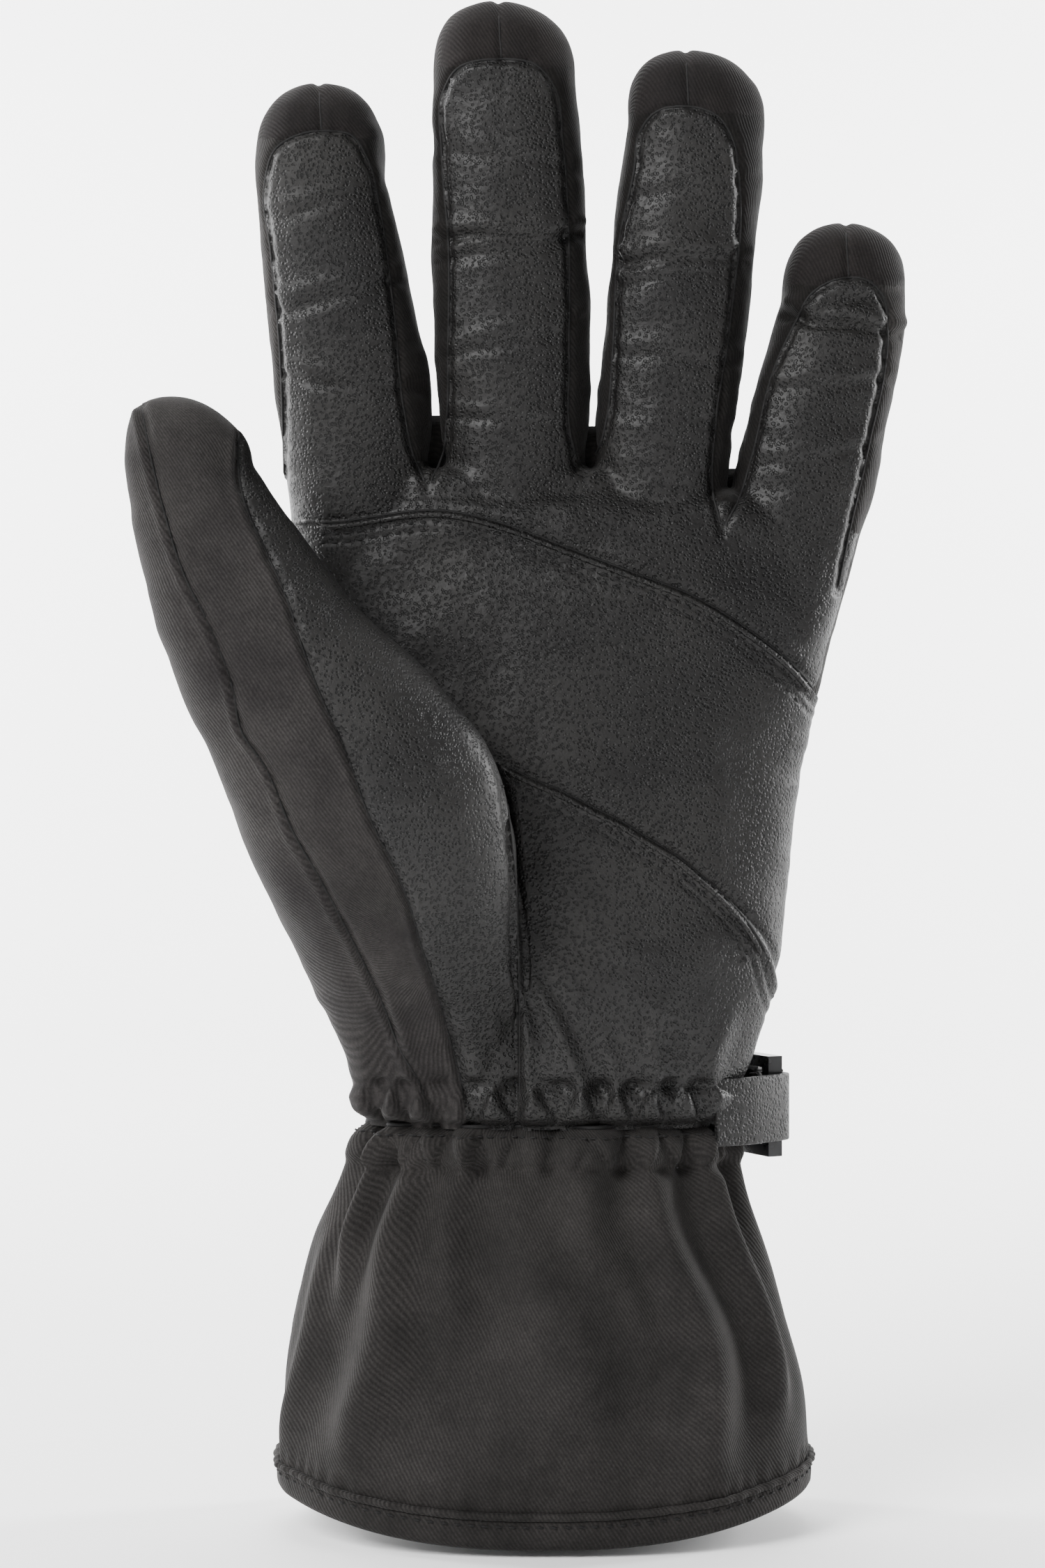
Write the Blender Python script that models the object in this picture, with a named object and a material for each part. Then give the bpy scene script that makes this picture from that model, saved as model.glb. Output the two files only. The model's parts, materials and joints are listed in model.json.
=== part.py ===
# Left-hand insulated ski glove, fingers up, palm facing -Y, thumb towards -X.
# The origin is the centre of the cuff opening, level with the lowest point of the
# hem. Lengths here are in millimetres and heights are counted from 7 mm below the
# hem; both are turned into the part's own metres where a mesh is made.

import math

import bmesh
import bpy
from mathutils import Vector

millimetre = 0.001

# Driving dimensions.
shellThickness = 1.2
liningThickness = 1.2
liningDepth = 2.2
handLiningDepth = 4.6
insulationDepth = 1.6
insulationThickness = 2.4
patchProud = 1.9
seamGap = 0.35
knuckleGap = 5.2
hemHeight = 7.0
wristSeam = 81.0
hemBand = 6.2
hemSideRise = 8.3
hemRiseReach = 45.0
handSquareness = 2.4
fingerSquareness = 2.6
bellowsGap = 0.3
webbingLift = 2.5
barClearance = 0.75
tailLift = 5.6
tailAngles = (58, 70, 82, 106)

# Hand, wrist and cuff: height, thumb-side edge, little-finger-side edge, half depth.
handRows = [
    (7, -49.8, 49.8, 29),
    (16, -49.8, 49.8, 29),
    (43, -47.9, 46.2, 26),
    (60, -43.2, 41.2, 22.5),
    (74, -37.0, 36.4, 19),
    (84, -35.4, 35.5, 18),
    (108, -37.5, 42.6, 20),
    (130, -40.5, 45.8, 19.8),
    (150, -43.5, 48.6, 19),
    (170, -46.0, 53.2, 17.5),
    (190, -48.0, 58.0, 15.6),
    (206, -49.0, 60.0, 14.6),
]

# Knuckle centre, sideways lean in degrees, length to the tip, length of the tip
# cap, forward curl at the tip, then half width and half depth at fractions of the length.
fingers = {
    "index": {
        "knuckle": (-34.2, 201.0), "lean": -9.1, "length": 77.3, "cap": 9.0, "curl": 5.0,
        "rows": [(0.0, 13.8, 13.0), (0.25, 14.9, 12.8), (0.6, 13.4, 12.2), (0.86, 12.3, 11.4)],
    },
    "middle": {
        "knuckle": (-4.9, 206.0), "lean": -2.4, "length": 87.0, "cap": 10.5, "curl": 6.0,
        "rows": [(0.0, 13.2, 13.0), (0.25, 14.4, 12.9), (0.6, 14.3, 12.4), (0.86, 13.2, 11.6)],
    },
    "ring": {
        "knuckle": (22.1, 203.0), "lean": 5.5, "length": 81.0, "cap": 10.5, "curl": 5.0,
        "rows": [(0.0, 12.8, 13.0), (0.25, 13.5, 12.8), (0.6, 13.4, 12.2), (0.86, 12.4, 11.4)],
    },
    "little": {
        "knuckle": (46.8, 192.0), "lean": 12.5, "length": 60.5, "cap": 10.5, "curl": 3.0,
        "rows": [(0.0, 11.6, 12.2), (0.25, 12.8, 12.0), (0.6, 12.4, 11.4), (0.82, 10.8, 10.6)],
    },
}

thumb = {
    "knuckle": (-32.0, 138.0), "lean": -27.2, "length": 89.5, "cap": 11.0, "curl": 1.0,
    "rows": [
        (0.0, 22.6, 13.6),
        (0.35, 20.0, 13.4),
        (0.5, 17.2, 13.0),
        (0.68, 14.6, 12.4),
        (0.86, 12.2, 11.0),
    ],
    "centreY": -34.0,
}

# Base of the thumb on the palm: height, outer edge, inner edge, bulge forward.
thumbBaseRows = [
    (wristSeam + seamGap, -35.0, -5.2, 6.5),
    (92, -37.4, -5.2, 9.0),
    (106, -42.6, -5.4, 18),
    (118, -47.6, -6.0, 27),
    (130, -51.5, -8.0, 33.5),
    (145, -54.0, -10.0, 36),
]

# Folded rims of the palm patches, as sideways place and height.
upperRim = [(-60, 190), (-40, 192), (-18, 194), (4, 189.5), (28, 180), (48, 166), (60, 156)]
lowerRim = [(-60, 145), (-9, 146), (9, 139.5), (25, 130), (38, 117), (42, 106), (60, 98)]

# Buckle: axis of the bar that the tab holds, and the strap's direction there.
buckle = {
    "bar": (43.3, 0.6, 84.5), "direction": (-0.46, 0.888), "width": 19.0, "length": 20.0,
    "thickness": 3.0, "barRadius": 1.5, "rail": 2.2, "ladder": 9.0,
}
webbing = {"width": 13.0, "thickness": 1.2}

colours = {
    "leather": ((0.045, 0.043, 0.040), 0.45),
    "twill": ((0.060, 0.056, 0.054), 0.80),
    "capTwill": ((0.030, 0.026, 0.023), 0.85),
    "lining": ((0.075, 0.075, 0.078), 0.95),
    "insulation": ((0.72, 0.73, 0.72), 0.95),
    "elastic": ((0.050, 0.048, 0.046), 0.85),
    "webbing": ((0.025, 0.024, 0.023), 0.75),
    "plastic": ((0.012, 0.012, 0.013), 0.25),
}


def clearScene():
    for obj in list(bpy.data.objects):
        bpy.data.objects.remove(obj, do_unlink=True)


def makeMaterial(name):
    colour, roughness = colours[name]
    material = bpy.data.materials.get(name) or bpy.data.materials.new(name)
    material.use_nodes = True
    shader = material.node_tree.nodes["Principled BSDF"]
    shader.inputs["Base Color"].default_value = (*colour, 1)
    shader.inputs["Roughness"].default_value = roughness
    return material


# Reads a smooth curve through rows that start with their place along it.
def interpolate(rows, place):
    place = min(max(place, rows[0][0]), rows[-1][0])
    low = max(i for i in range(len(rows) - 1) if rows[i][0] <= place)
    before, start, end, after = (rows[min(max(low + k, 0), len(rows) - 1)] for k in (-1, 0, 1, 2))
    span = end[0] - start[0]
    part = (place - start[0]) / span

    def slope(a, b, c, column):
        left = (b[column] - a[column]) / (b[0] - a[0]) if b[0] != a[0] else 0
        right = (c[column] - b[column]) / (c[0] - b[0]) if c[0] != b[0] else 0
        return (left + right) / 2

    values = []
    for column in range(1, len(start)):
        first = slope(before, start, end, column) * span
        last = slope(start, end, after, column) * span
        rise = end[column] - start[column]
        cubic = first + last - 2 * rise
        square = 3 * rise - 2 * first - last
        values.append(start[column] + part * (first + part * (square + part * cubic)))
    return values


def alongLine(points, place):
    for (x0, z0), (x1, z1) in zip(points, points[1:]):
        if place <= x1:
            return z0 + (z1 - z0) * (place - x0) / (x1 - x0)
    return points[-1][1]


def rounded(angle, squareness):
    power = 2 / squareness
    across, through = math.cos(angle), math.sin(angle)
    return (
        math.copysign(abs(across) ** power, across),
        math.copysign(abs(through) ** power, through),
    )


def addObject(name, points, faces, materialName):
    mesh = bpy.data.meshes.new(name)
    lowered = [(Vector(p) - Vector((0, 0, hemHeight))) * millimetre for p in points]
    mesh.from_pydata(lowered, [], faces)
    tool = bmesh.new()
    tool.from_mesh(mesh)
    bmesh.ops.recalc_face_normals(tool, faces=tool.faces)
    bmesh.ops.triangulate(tool, faces=[f for f in tool.faces if len(f.verts) > 3])
    tool.to_mesh(mesh)
    tool.free()
    mesh.materials.append(makeMaterial(materialName))
    obj = bpy.data.objects.new(name, mesh)
    bpy.context.scene.collection.objects.link(obj)
    mesh.shade_smooth()
    mesh.set_sharp_from_angle(angle=math.radians(35))
    return obj


# A closed sheet: outer and inner grids with walls between their edges. A ring
# closes on itself across its columns.
def addSheet(name, point, columns, rows, thickness, materialName, ring=False):
    points = []
    faces = []
    across = columns if ring else columns + 1
    for depth in (0, thickness):
        for j in range(rows + 1):
            for i in range(across):
                points.append(point(i / columns, j / rows, depth))
    layer = across * (rows + 1)

    def at(i, j, side):
        return side * layer + j * across + i % across

    for side in (0, 1):
        for j in range(rows):
            for i in range(columns):
                quad = [at(i, j, side), at(i + 1, j, side), at(i + 1, j + 1, side), at(i, j + 1, side)]
                faces.append(quad if side else quad[::-1])
    for j in (0, rows):
        for i in range(columns):
            faces.append([at(i, j, 0), at(i + 1, j, 0), at(i + 1, j, 1), at(i, j, 1)])
    if not ring:
        for i in (0, columns):
            for j in range(rows):
                faces.append([at(i, j, 0), at(i, j + 1, 0), at(i, j + 1, 1), at(i, j, 1)])
    return addObject(name, points, faces, materialName)


# A strip of one thickness that follows a path in the XY plane, with its width along Z.
def addRibbon(name, path, thickness, low, high, materialName):
    left, right = [], []
    for i, (x, y) in enumerate(path):
        before = Vector(path[max(i - 1, 0)])
        after = Vector(path[min(i + 1, len(path) - 1)])
        along = (after - before).normalized()
        side = Vector((-along.y, along.x)) * thickness / 2
        left.append((x + side.x, y + side.y))
        right.append((x - side.x, y - side.y))
    points = [(x, y, z) for z in (low, high) for x, y in left + right]
    count = len(path)
    layer = 2 * count
    faces = []
    for i in range(count - 1):
        a, b, c, d = i, i + 1, count + i + 1, count + i
        faces.append([a, b, c, d])
        faces.append([layer + d, layer + c, layer + b, layer + a])
        faces.append([a, layer + a, layer + b, b])
        faces.append([c, layer + c, layer + d, d])
    for i in (0, count - 1):
        faces.append([i, count + i, layer + count + i, layer + i])
    return addObject(name, points, faces, materialName)


# A point of the hand, wrist and cuff, at an angle from +X and a depth under the skin.
def handPoint(angle, height, depth):
    low, high, half = interpolate(handRows, height)
    across, through = rounded(angle, handSquareness)
    rise = hemSideRise * math.cos(angle) ** 2 * max(0, 1 - height / hemRiseReach)
    x = (low + high) / 2 + ((high - low) / 2 - depth) * across
    return x, (half - depth) * through, height + rise


# The angle on the palm side at which the skin has this sideways place.
def palmAngle(x, height):
    low, high, _ = interpolate(handRows, height)
    across = (x - (low + high) / 2) / ((high - low) / 2)
    across = min(max(across, -1), 1)
    return 2 * math.pi - math.acos(math.copysign(abs(across) ** (handSquareness / 2), across))


def digitAxes(digit):
    lean = math.radians(digit["lean"])
    along = Vector((math.sin(lean), 0, math.cos(lean)))
    across = Vector((math.cos(lean), 0, -math.sin(lean)))
    return along, across


def digitCentre(digit, length):
    along, _ = digitAxes(digit)
    x, z = digit["knuckle"]
    bend = digit["curl"] * max(0, length / digit["length"]) ** 2
    return Vector((x, digit.get("centreY", 0) - bend, z)) + along * length


# A point of a digit, at an angle from its own right, a length from its knuckle
# and a depth under the skin. Past the start of the cap the end is rounded over.
def digitPoint(digit, angle, length, depth):
    _, across = digitAxes(digit)
    capStart = digit["length"] - digit["cap"]
    share = min(length, capStart) / digit["length"]
    halfWidth, halfDepth = interpolate(digit["rows"], share)
    if length > capStart:
        over = min((length - capStart) / digit["cap"], 1)
        close = max(1 - over ** 2.2, 0) ** 0.5
        halfWidth *= close
        halfDepth *= close
        depth *= close
    right, back = rounded(angle, fingerSquareness)
    centre = digitCentre(digit, length)
    return centre + across * (halfWidth - depth) * right + Vector((0, (halfDepth - depth) * back, 0))


def addDigitPanel(
    name, digit, startAngle, endAngle, low, high, depth, thickness, materialName, columns=4, rows=4
):
    def point(i, j, extra):
        angle = math.radians(startAngle + (endAngle - startAngle) * i)
        return digitPoint(digit, angle, low + (high - low) * j, depth + extra)

    return addSheet(name, point, columns, rows, thickness, materialName)


def addDigitRing(name, digit, low, high, depth, thickness, materialName, rows=1):
    def point(i, j, extra):
        return digitPoint(digit, 2 * math.pi * i, low + (high - low) * j, depth + extra)

    return addSheet(name, point, 16, rows, thickness, materialName, ring=True)


# A thimble: open at the low end, closed and rounded at the tip.
def addThimble(name, digit, low, depth, thickness, materialName, straightRows):
    sides = 16
    capStart = digit["length"] - digit["cap"]
    straight = [low + (capStart - low) * j / max(straightRows, 1) for j in range(straightRows + 1)]
    lengths = straight if straightRows else [low]
    dome = [0.4, 0.72, 0.92]
    points = []
    faces = []
    starts = []
    for extra in (0, thickness):
        shrink = 1 - (depth + extra) / digit["cap"] * 0.7
        places = lengths + [lengths[-1] + (digit["length"] - lengths[-1]) * d * shrink for d in dome]
        starts.append(len(points))
        for place in places:
            for i in range(sides):
                points.append(digitPoint(digit, 2 * math.pi * i / sides, place, depth + extra))
        top = lengths[-1] + (digit["length"] - lengths[-1]) * shrink * (0.985 if extra else 1)
        points.append(digitCentre(digit, top))
    count = len(lengths) + len(dome)
    for side, start in enumerate(starts):
        for j in range(count - 1):
            for i in range(sides):
                near = start + j * sides
                quad = [near + i, near + (i + 1) % sides, near + sides + (i + 1) % sides, near + sides + i]
                faces.append(quad if not side else quad[::-1])
        last = start + (count - 1) * sides
        pole = last + sides
        for i in range(sides):
            faces.append([last + i, last + (i + 1) % sides, pole])
    for i in range(sides):
        faces.append([starts[0] + i, starts[0] + (i + 1) % sides, starts[1] + (i + 1) % sides, starts[1] + i])
    return addObject(name, points, faces, materialName)


def addDigit(name, digit):
    capStart = digit["length"] - digit["cap"]
    low, high = knuckleGap, capStart - seamGap
    edge = 0.9
    panels = {
        f"{name}_face_panel": (215, 325, "leather"),
        f"{name}_outer_fourchette": (325, 388, "twill"),
        f"{name}_back_panel": (28, 152, "twill"),
        f"{name}_inner_fourchette": (152, 215, "twill"),
    }
    if name == "thumb":
        panels = {
            "thumb_face_panel": (215, 335, "leather"),
            "thumb_web_panel": (335, 388, "twill"),
            "thumb_back_panel": (28, 152, "twill"),
            "thumb_outer_panel": (152, 215, "twill"),
        }
    for panelName, (start, end, materialName) in panels.items():
        addDigitPanel(panelName, digit, start + edge, end - edge, low, high, 0, shellThickness, materialName)
    addThimble(f"{name}_tip_cap", digit, capStart, 0, shellThickness, "capTwill", 0)
    addThimble(f"{name}_lining", digit, knuckleGap + 1, liningDepth, liningThickness, "lining", 3)
    stretch = knuckleGap - bellowsGap
    addDigitRing(f"{name}_knuckle_gusset", digit, -stretch, stretch, 0, shellThickness, "twill")


# Height at which the hand's panels stop under the digit bases, by sideways place.
def knuckleEdge():
    edge = []
    for digit in fingers.values():
        along, across = digitAxes(digit)
        half = digit["rows"][0][1]
        x, z = digit["knuckle"]
        for side in (-1, 1):
            end = Vector((x, 0, z)) + across * half * side - along * knuckleGap
            edge.append([end.x, end.z])
    for left, right in zip(edge[1::2], edge[2::2]):
        middle = (left[0] + right[0]) / 2
        left[0], right[0] = middle - 0.3, middle + 0.3
    return [(-70, edge[0][1])] + [tuple(p) for p in edge] + [(70, edge[-1][1])]


def topHeight(x):
    return alongLine(knuckleEdge(), x) - seamGap


def addHandPanel(name, startX, endX, low, high, depth, thickness, materialName, places=None, rows=5):
    places = places or [startX + (endX - startX) * i / 8 for i in range(9)]
    count = len(places) - 1

    def point(i, j, extra):
        x = places[round(i * count)]
        height = low(x) + (high(x) - low(x)) * j
        angle = palmAngle(x, 190 if high(x) > 150 else 120)
        return handPoint(angle, height, depth + extra)

    return addSheet(name, point, count, rows, thickness, materialName)


def addHandAngles(name, startAngle, endAngle, low, high, depth, thickness, materialName, columns=8, rows=6):
    def point(i, j, extra):
        angle = math.radians(startAngle + (endAngle - startAngle) * i)
        x = handPoint(angle, 190, 0)[0]
        bottom, top = low(x), high(x)
        return handPoint(angle, bottom + (top - bottom) * j, depth + extra)

    return addSheet(name, point, columns, rows, thickness, materialName)


def knucklePlaces(startX, endX):
    inner = [x for x, _ in knuckleEdge() if startX + 1 < x < endX - 1]
    centres = [digit["knuckle"][0] for digit in fingers.values()]
    return sorted([startX, endX] + inner + [x for x in centres if startX < x < endX])


def addPalm():
    left, right = -44.0, 55.0
    places = knucklePlaces(left, right)

    def patchTop(x):
        return min(alongLine(upperRim, x), topHeight(x) - 4)

    addHandPanel("palm_upper_panel", left, right, lambda x: patchTop(x) + seamGap, topHeight,
                 0, shellThickness, "leather", places, 2)
    addHandPanel("palm_centre_patch", left, right, lambda x: alongLine(lowerRim, x) + seamGap,
                 lambda x: patchTop(x), -patchProud, shellThickness, "leather", places)
    addHandPanel("palm_heel_panel", -4.4, 42.2, lambda x: wristSeam + seamGap,
                 lambda x: alongLine(lowerRim, x + 1), 0, shellThickness, "leather")
    addHandPanel("palm_lining", -3.0, 46.0, lambda x: 92, lambda x: topHeight(x) - 5,
                 handLiningDepth, liningThickness, "lining")


def addThumbBase():
    along, sideways = digitAxes(thumb)
    rise = sideways.z / sideways.x
    knuckleHeight = thumb["knuckle"][1]
    topAtKnuckle = knuckleHeight - (knuckleGap + 2 * seamGap) / sideways.x
    low = thumbBaseRows[0][0]

    def point(startShare, endShare):
        def place(i, j, extra):
            angle = math.pi * (1 + startShare + (endShare - startShare) * i)
            across, through = rounded(angle, 2.3)
            top = topAtKnuckle + rise * thumb["rows"][0][1] * sideways.x * across
            height = low + (top - low) * j
            outer, inner, bulge = interpolate(thumbBaseRows, height)
            x = (outer + inner) / 2 + (inner - outer - 2 * extra) / 2 * across
            base = -4.0 - 13.6 * (1 + across) / 2
            return x, base + (bulge - extra) * through, height

        return place

    addSheet("thumb_base_leather", point(0.44, 0.965), 6, 5, shellThickness, "leather")
    addSheet("thumb_base_twill", point(0.07, 0.425), 5, 5, shellThickness, "twill")


def addBackAndSides():
    addHandAngles("back_of_hand_panel", 24, 157, lambda x: wristSeam + seamGap, topHeight,
                  0, shellThickness, "twill", 12, 6)
    addHandAngles("little_side_gusset", -15, 22.5, lambda x: wristSeam + seamGap, lambda x: 182.5,
                  0, shellThickness, "twill", 4, 7)
    addHandAngles("thumb_side_gusset", 158.5, 186, lambda x: wristSeam + seamGap, lambda x: 192,
                  0, shellThickness, "twill", 4, 7)
    addHandAngles("back_insulation", 30, 150, lambda x: 92, lambda x: topHeight(x) - 5,
                  insulationDepth, insulationThickness, "insulation", 8, 4)
    addHandAngles("back_lining", 5, 175, lambda x: 92, lambda x: min(topHeight(x), 190) - 6,
                  handLiningDepth, liningThickness, "lining", 8, 4)


def addCuff():
    def band(startAngle, endAngle, low, high, depth):
        def point(i, j, extra):
            angle = math.radians(startAngle + (endAngle - startAngle) * i)
            return handPoint(angle, low + (high - low) * j, depth + extra)

        return point

    high = wristSeam - seamGap
    low = hemHeight + hemBand + seamGap
    edge = 0.6
    addSheet("cuff_palm_panel", band(180 + edge, 360 - edge, low, high, 0), 14, 5, shellThickness, "twill")
    addSheet("cuff_back_panel", band(edge, 180 - edge, low, high, 0), 14, 5, shellThickness, "twill")
    addSheet("cuff_lining", band(0, 360, low, 70, 3.0), 24, 4, liningThickness, "lining", ring=True)
    addSheet("wrist_elastic", band(0, 360, 73, 88, 2.0), 24, 3, 0.9, "elastic", ring=True)
    addSheet("hem_binding", band(0, 360, hemHeight, hemHeight + hemBand, -0.3), 28, 1, 2.4, "twill", ring=True)
    addPiping(low + 0.2)


def addPiping(height):
    radius = 0.6
    rings = 36
    sides = 6
    points = []
    faces = []
    for i in range(rings):
        angle = 2 * math.pi * i / rings
        centre = Vector(handPoint(angle, height, -1.4))
        outward = (Vector(handPoint(angle, height, -2.4)) - centre).normalized()
        for k in range(sides):
            turn = 2 * math.pi * k / sides
            upward = Vector((0, 0, radius * math.sin(turn)))
            points.append(centre + outward * radius * math.cos(turn) + upward)
    for i in range(rings):
        for k in range(sides):
            near, far = i * sides, (i + 1) % rings * sides
            following = (k + 1) % sides
            faces.append([near + k, far + k, far + following, near + following])
    addObject("hem_piping", points, faces, "twill")


def buckleFrame():
    x, y, z = buckle["bar"]
    along = Vector((*buckle["direction"], 0)).normalized()
    outward = Vector((along.y, -along.x, 0))
    return Vector((x, y, z)), along, outward


def addBlock(name, start, end, halfThickness, low, high):
    centre, along, outward = buckleFrame()
    points = []
    for z in (low, high):
        corners = ((start, -halfThickness), (end, -halfThickness), (end, halfThickness), (start, halfThickness))
        for a, o in corners:
            points.append(centre + along * a + outward * o + Vector((0, 0, z)))
    faces = [[0, 1, 2, 3], [7, 6, 5, 4], [0, 4, 5, 1], [1, 5, 6, 2], [2, 6, 7, 3], [3, 7, 4, 0]]
    return addObject(name, points, faces, "plastic")


def addBuckle():
    half = buckle["width"] / 2
    thin = buckle["thickness"] / 2
    bar = buckle["barRadius"]
    opening = half - buckle["rail"]
    frame = addBlock("buckle_frame", -bar + 0.3, buckle["length"], thin, -half, half)
    slots = [
        addBlock("tab_slot", bar - 0.3, buckle["ladder"] - bar, thin + 2, -opening, opening),
        addBlock("strap_slot", buckle["ladder"] + bar, buckle["length"] - 4.5, thin + 2, -opening, opening),
    ]
    for slot in slots:
        cut = frame.modifiers.new(f"cut_{slot.name}", "BOOLEAN")
        cut.operation = "DIFFERENCE"
        cut.object = slot
        slot.hide_render = True
        slot.display_type = "WIRE"


def strapLoopPath():
    centre, along, outward = buckleFrame()
    gap = buckle["barRadius"] + barClearance + webbing["thickness"] / 2
    steps = 8
    local = [(10.5, -gap), (buckle["ladder"], -gap)]
    for i in range(1, steps):
        turn = math.pi * i / steps
        local.append((buckle["ladder"] - gap * math.sin(turn), -gap * math.cos(turn)))
    local += [(buckle["ladder"], gap), (14.0, gap)]
    return [(centre + along * a + outward * o).to_2d() for a, o in local]


def addStrap():
    centre, along, outward = buckleFrame()
    half = webbing["width"] / 2
    thick = webbing["thickness"]
    low, high = centre.z - half, centre.z + half
    addRibbon("strap_loop", [tuple(p) for p in strapLoopPath()], thick, low, high, "webbing")

    over = buckle["barRadius"] + barClearance + 1.5 * thick + 0.5
    tail = [tuple((centre + along * a + outward * over).to_2d()) for a in (4.0, 14.0, 21.0)]
    for angle in tailAngles:
        tail.append(handPoint(math.radians(angle), centre.z, -tailLift)[:2])
    addRibbon("strap_tail", tail, thick, low, high, "webbing")

    gap = buckle["barRadius"] + barClearance + thick / 2
    start = (centre + along * 11.0 - outward * gap).to_2d()
    path = [tuple(start)]
    for angle in (32, 41, 50, 66, 82, 98, 114, 130, 144):
        x, y, _ = handPoint(math.radians(angle), centre.z, -webbingLift)
        path.append((x, y))
    addRibbon("wrist_strap", path, thick, low, high, "webbing")

    radius = buckle["barRadius"] + 0.7 + 0.55
    toRoot = Vector((-0.676, -0.737))
    side = Vector((0.737, -0.676))
    bar = centre.to_2d()
    path = [Vector((31.8, -12.9)), bar + toRoot * 9.5 + side * radius, bar + side * radius]
    steps = 8
    for i in range(1, steps):
        turn = math.pi * i / steps
        path.append(bar + side * radius * math.cos(turn) - toRoot * radius * math.sin(turn))
    path += [bar - side * radius, bar + toRoot * 3.0 - side * radius]
    addRibbon("strap_tab", [tuple(p) for p in path], 1.1, centre.z - 6.3, centre.z + 6.3, "leather")


clearScene()
for fingerName, finger in fingers.items():
    addDigit(fingerName, finger)
addDigit("thumb", thumb)
addThumbBase()
addPalm()
addBackAndSides()
addCuff()
addBuckle()
addStrap()
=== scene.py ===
import itertools
import json
import math

import bmesh
import bpy
import numpy as np
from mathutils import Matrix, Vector
from mathutils.bvhtree import BVHTree


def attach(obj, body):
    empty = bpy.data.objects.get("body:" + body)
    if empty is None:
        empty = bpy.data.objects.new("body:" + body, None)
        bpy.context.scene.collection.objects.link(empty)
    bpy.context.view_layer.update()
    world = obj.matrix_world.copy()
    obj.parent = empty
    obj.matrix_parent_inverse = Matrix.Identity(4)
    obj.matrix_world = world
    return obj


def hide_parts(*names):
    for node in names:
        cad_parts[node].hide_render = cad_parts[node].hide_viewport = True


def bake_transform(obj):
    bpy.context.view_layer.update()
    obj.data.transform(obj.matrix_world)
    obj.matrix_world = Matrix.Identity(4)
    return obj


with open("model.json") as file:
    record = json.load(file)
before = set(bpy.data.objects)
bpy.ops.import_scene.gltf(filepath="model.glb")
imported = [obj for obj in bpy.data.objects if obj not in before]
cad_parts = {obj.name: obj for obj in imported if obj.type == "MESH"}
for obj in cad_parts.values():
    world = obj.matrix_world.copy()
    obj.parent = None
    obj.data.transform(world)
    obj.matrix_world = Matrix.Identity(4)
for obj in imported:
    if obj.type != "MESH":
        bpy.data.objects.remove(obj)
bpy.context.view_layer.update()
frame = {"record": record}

# Left ski glove, fingers up, palm towards -Y, thumb towards -X. Numbers are in
# millimetres and heights are counted from 7 mm below the hem, as on the pattern.
# Both are turned into the frame's own metres where a mesh is made.
mm = 0.001
hemHeight = 7.0

view = {"eye": (-4.0, -600.0, 145.5), "height": 297.0, "sensor": 24.0}

bodyMesh = {"voxel": 0.52, "smoothing": 8, "quickVoxel": 0.75}

# Outlines are given as seen from the front, so each slice is a height, its left
# and right edges, and its front and back.
tubes = {
    "index": {
        "slices": [(184, -46, -22, -12, 11), (203, -48.6, -21.6, -12.6, 12.4), (220, -50.9, -21.4, -13.2, 12),
                   (235, -52.2, -24.6, -14, 11), (250, -53.6, -27.4, -15, 9.6),
                   (262, -54.8, -29.8, -15.6, 8)],
        "tip": (-42.6, 278), "round": 2.4,
    },
    "middle": {
        "slices": [(186, -17, 7, -12, 11), (206, -19.0, 8.0, -12.8, 12.4), (218, -19.9, 8.6, -13.2, 12.2),
                   (240, -20.9, 8.6, -14.4, 11), (260, -21.3, 7.4, -15.8, 9.2), (278, -20.8, 6.1, -16.6, 7)],
        "tip": (-8.6, 293), "round": 2.9,
    },
    "ring": {
        "slices": [(184, 11, 33, -12, 11), (204, 9.6, 34.6, -12.6, 12.4), (218, 10.3, 36.9, -13, 12),
                   (235, 11.9, 38.8, -14, 11), (254, 13.6, 40.6, -15.2, 9.4), (270, 16.0, 41.5, -15.8, 7.6)],
        "tip": (26.9, 284), "round": 2.8,
    },
    "little": {
        "slices": [(172, 35, 54, -11, 10), (190, 34.6, 59.2, -11.8, 11.4), (206, 36.6, 63.6, -12.2, 11.2),
                   (218, 39.3, 66.0, -12.6, 10.6), (228, 42.4, 68.2, -13, 9.8), (237, 45.2, 68.6, -13.2, 9)],
        "tip": (57.2, 251.6), "round": 2.8,
    },
    "thumb": {
        "slices": [(84, -35.2, -4.8, -16.5, 2), (95, -37.6, -4.2, -21, 0), (106, -43.2, -3.8, -29, -4),
                   (122, -50.9, -4.4, -40, -9), (139, -58.2, -6.2, -46, -16), (149, -62.6, -9.2, -47, -20),
                   (156, -65.9, -13.2, -47, -22), (167, -70.2, -22.6, -47, -23),
                   (177, -73.4, -33.6, -46.6, -23.6),
                   (188, -76.4, -42.6, -46, -24), (198, -78.2, -49.6, -45.2, -24.4),
                   (206, -79.0, -55.2, -44.2, -25)],
        "tip": (-70.6, 218.4), "round": 2.3,
    },
    "palm": {
        "slices": [(78, -35.8, 36.2, -17.6, 17.6), (84, -35.6, 36.0, -17.8, 17.8),
                   (96, -36.2, 39.0, -19.0, 18.6),
                   (108, -37.6, 43.2, -19.8, 19.2), (126, -39.8, 45.6, -19.8, 19.2),
                   (150, -43.5, 48.8, -19.2, 18.4),
                   (168, -46.0, 53.2, -17.8, 16.8), (180, -47.2, 55.8, -16.6, 15.4),
                   (190, -48.2, 57.6, -15.0, 13.8)],
        "tip": (2, 202.5), "round": 3.2,
    },
    "palmRise": {
        "slices": [(178, -44, 30, -13, 11), (194, -46, 33, -12.6, 11.8), (200, -40, 26, -11.8, 10.8)],
        "tip": (-6, 205.5), "round": 3.5,
    },
}

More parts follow.
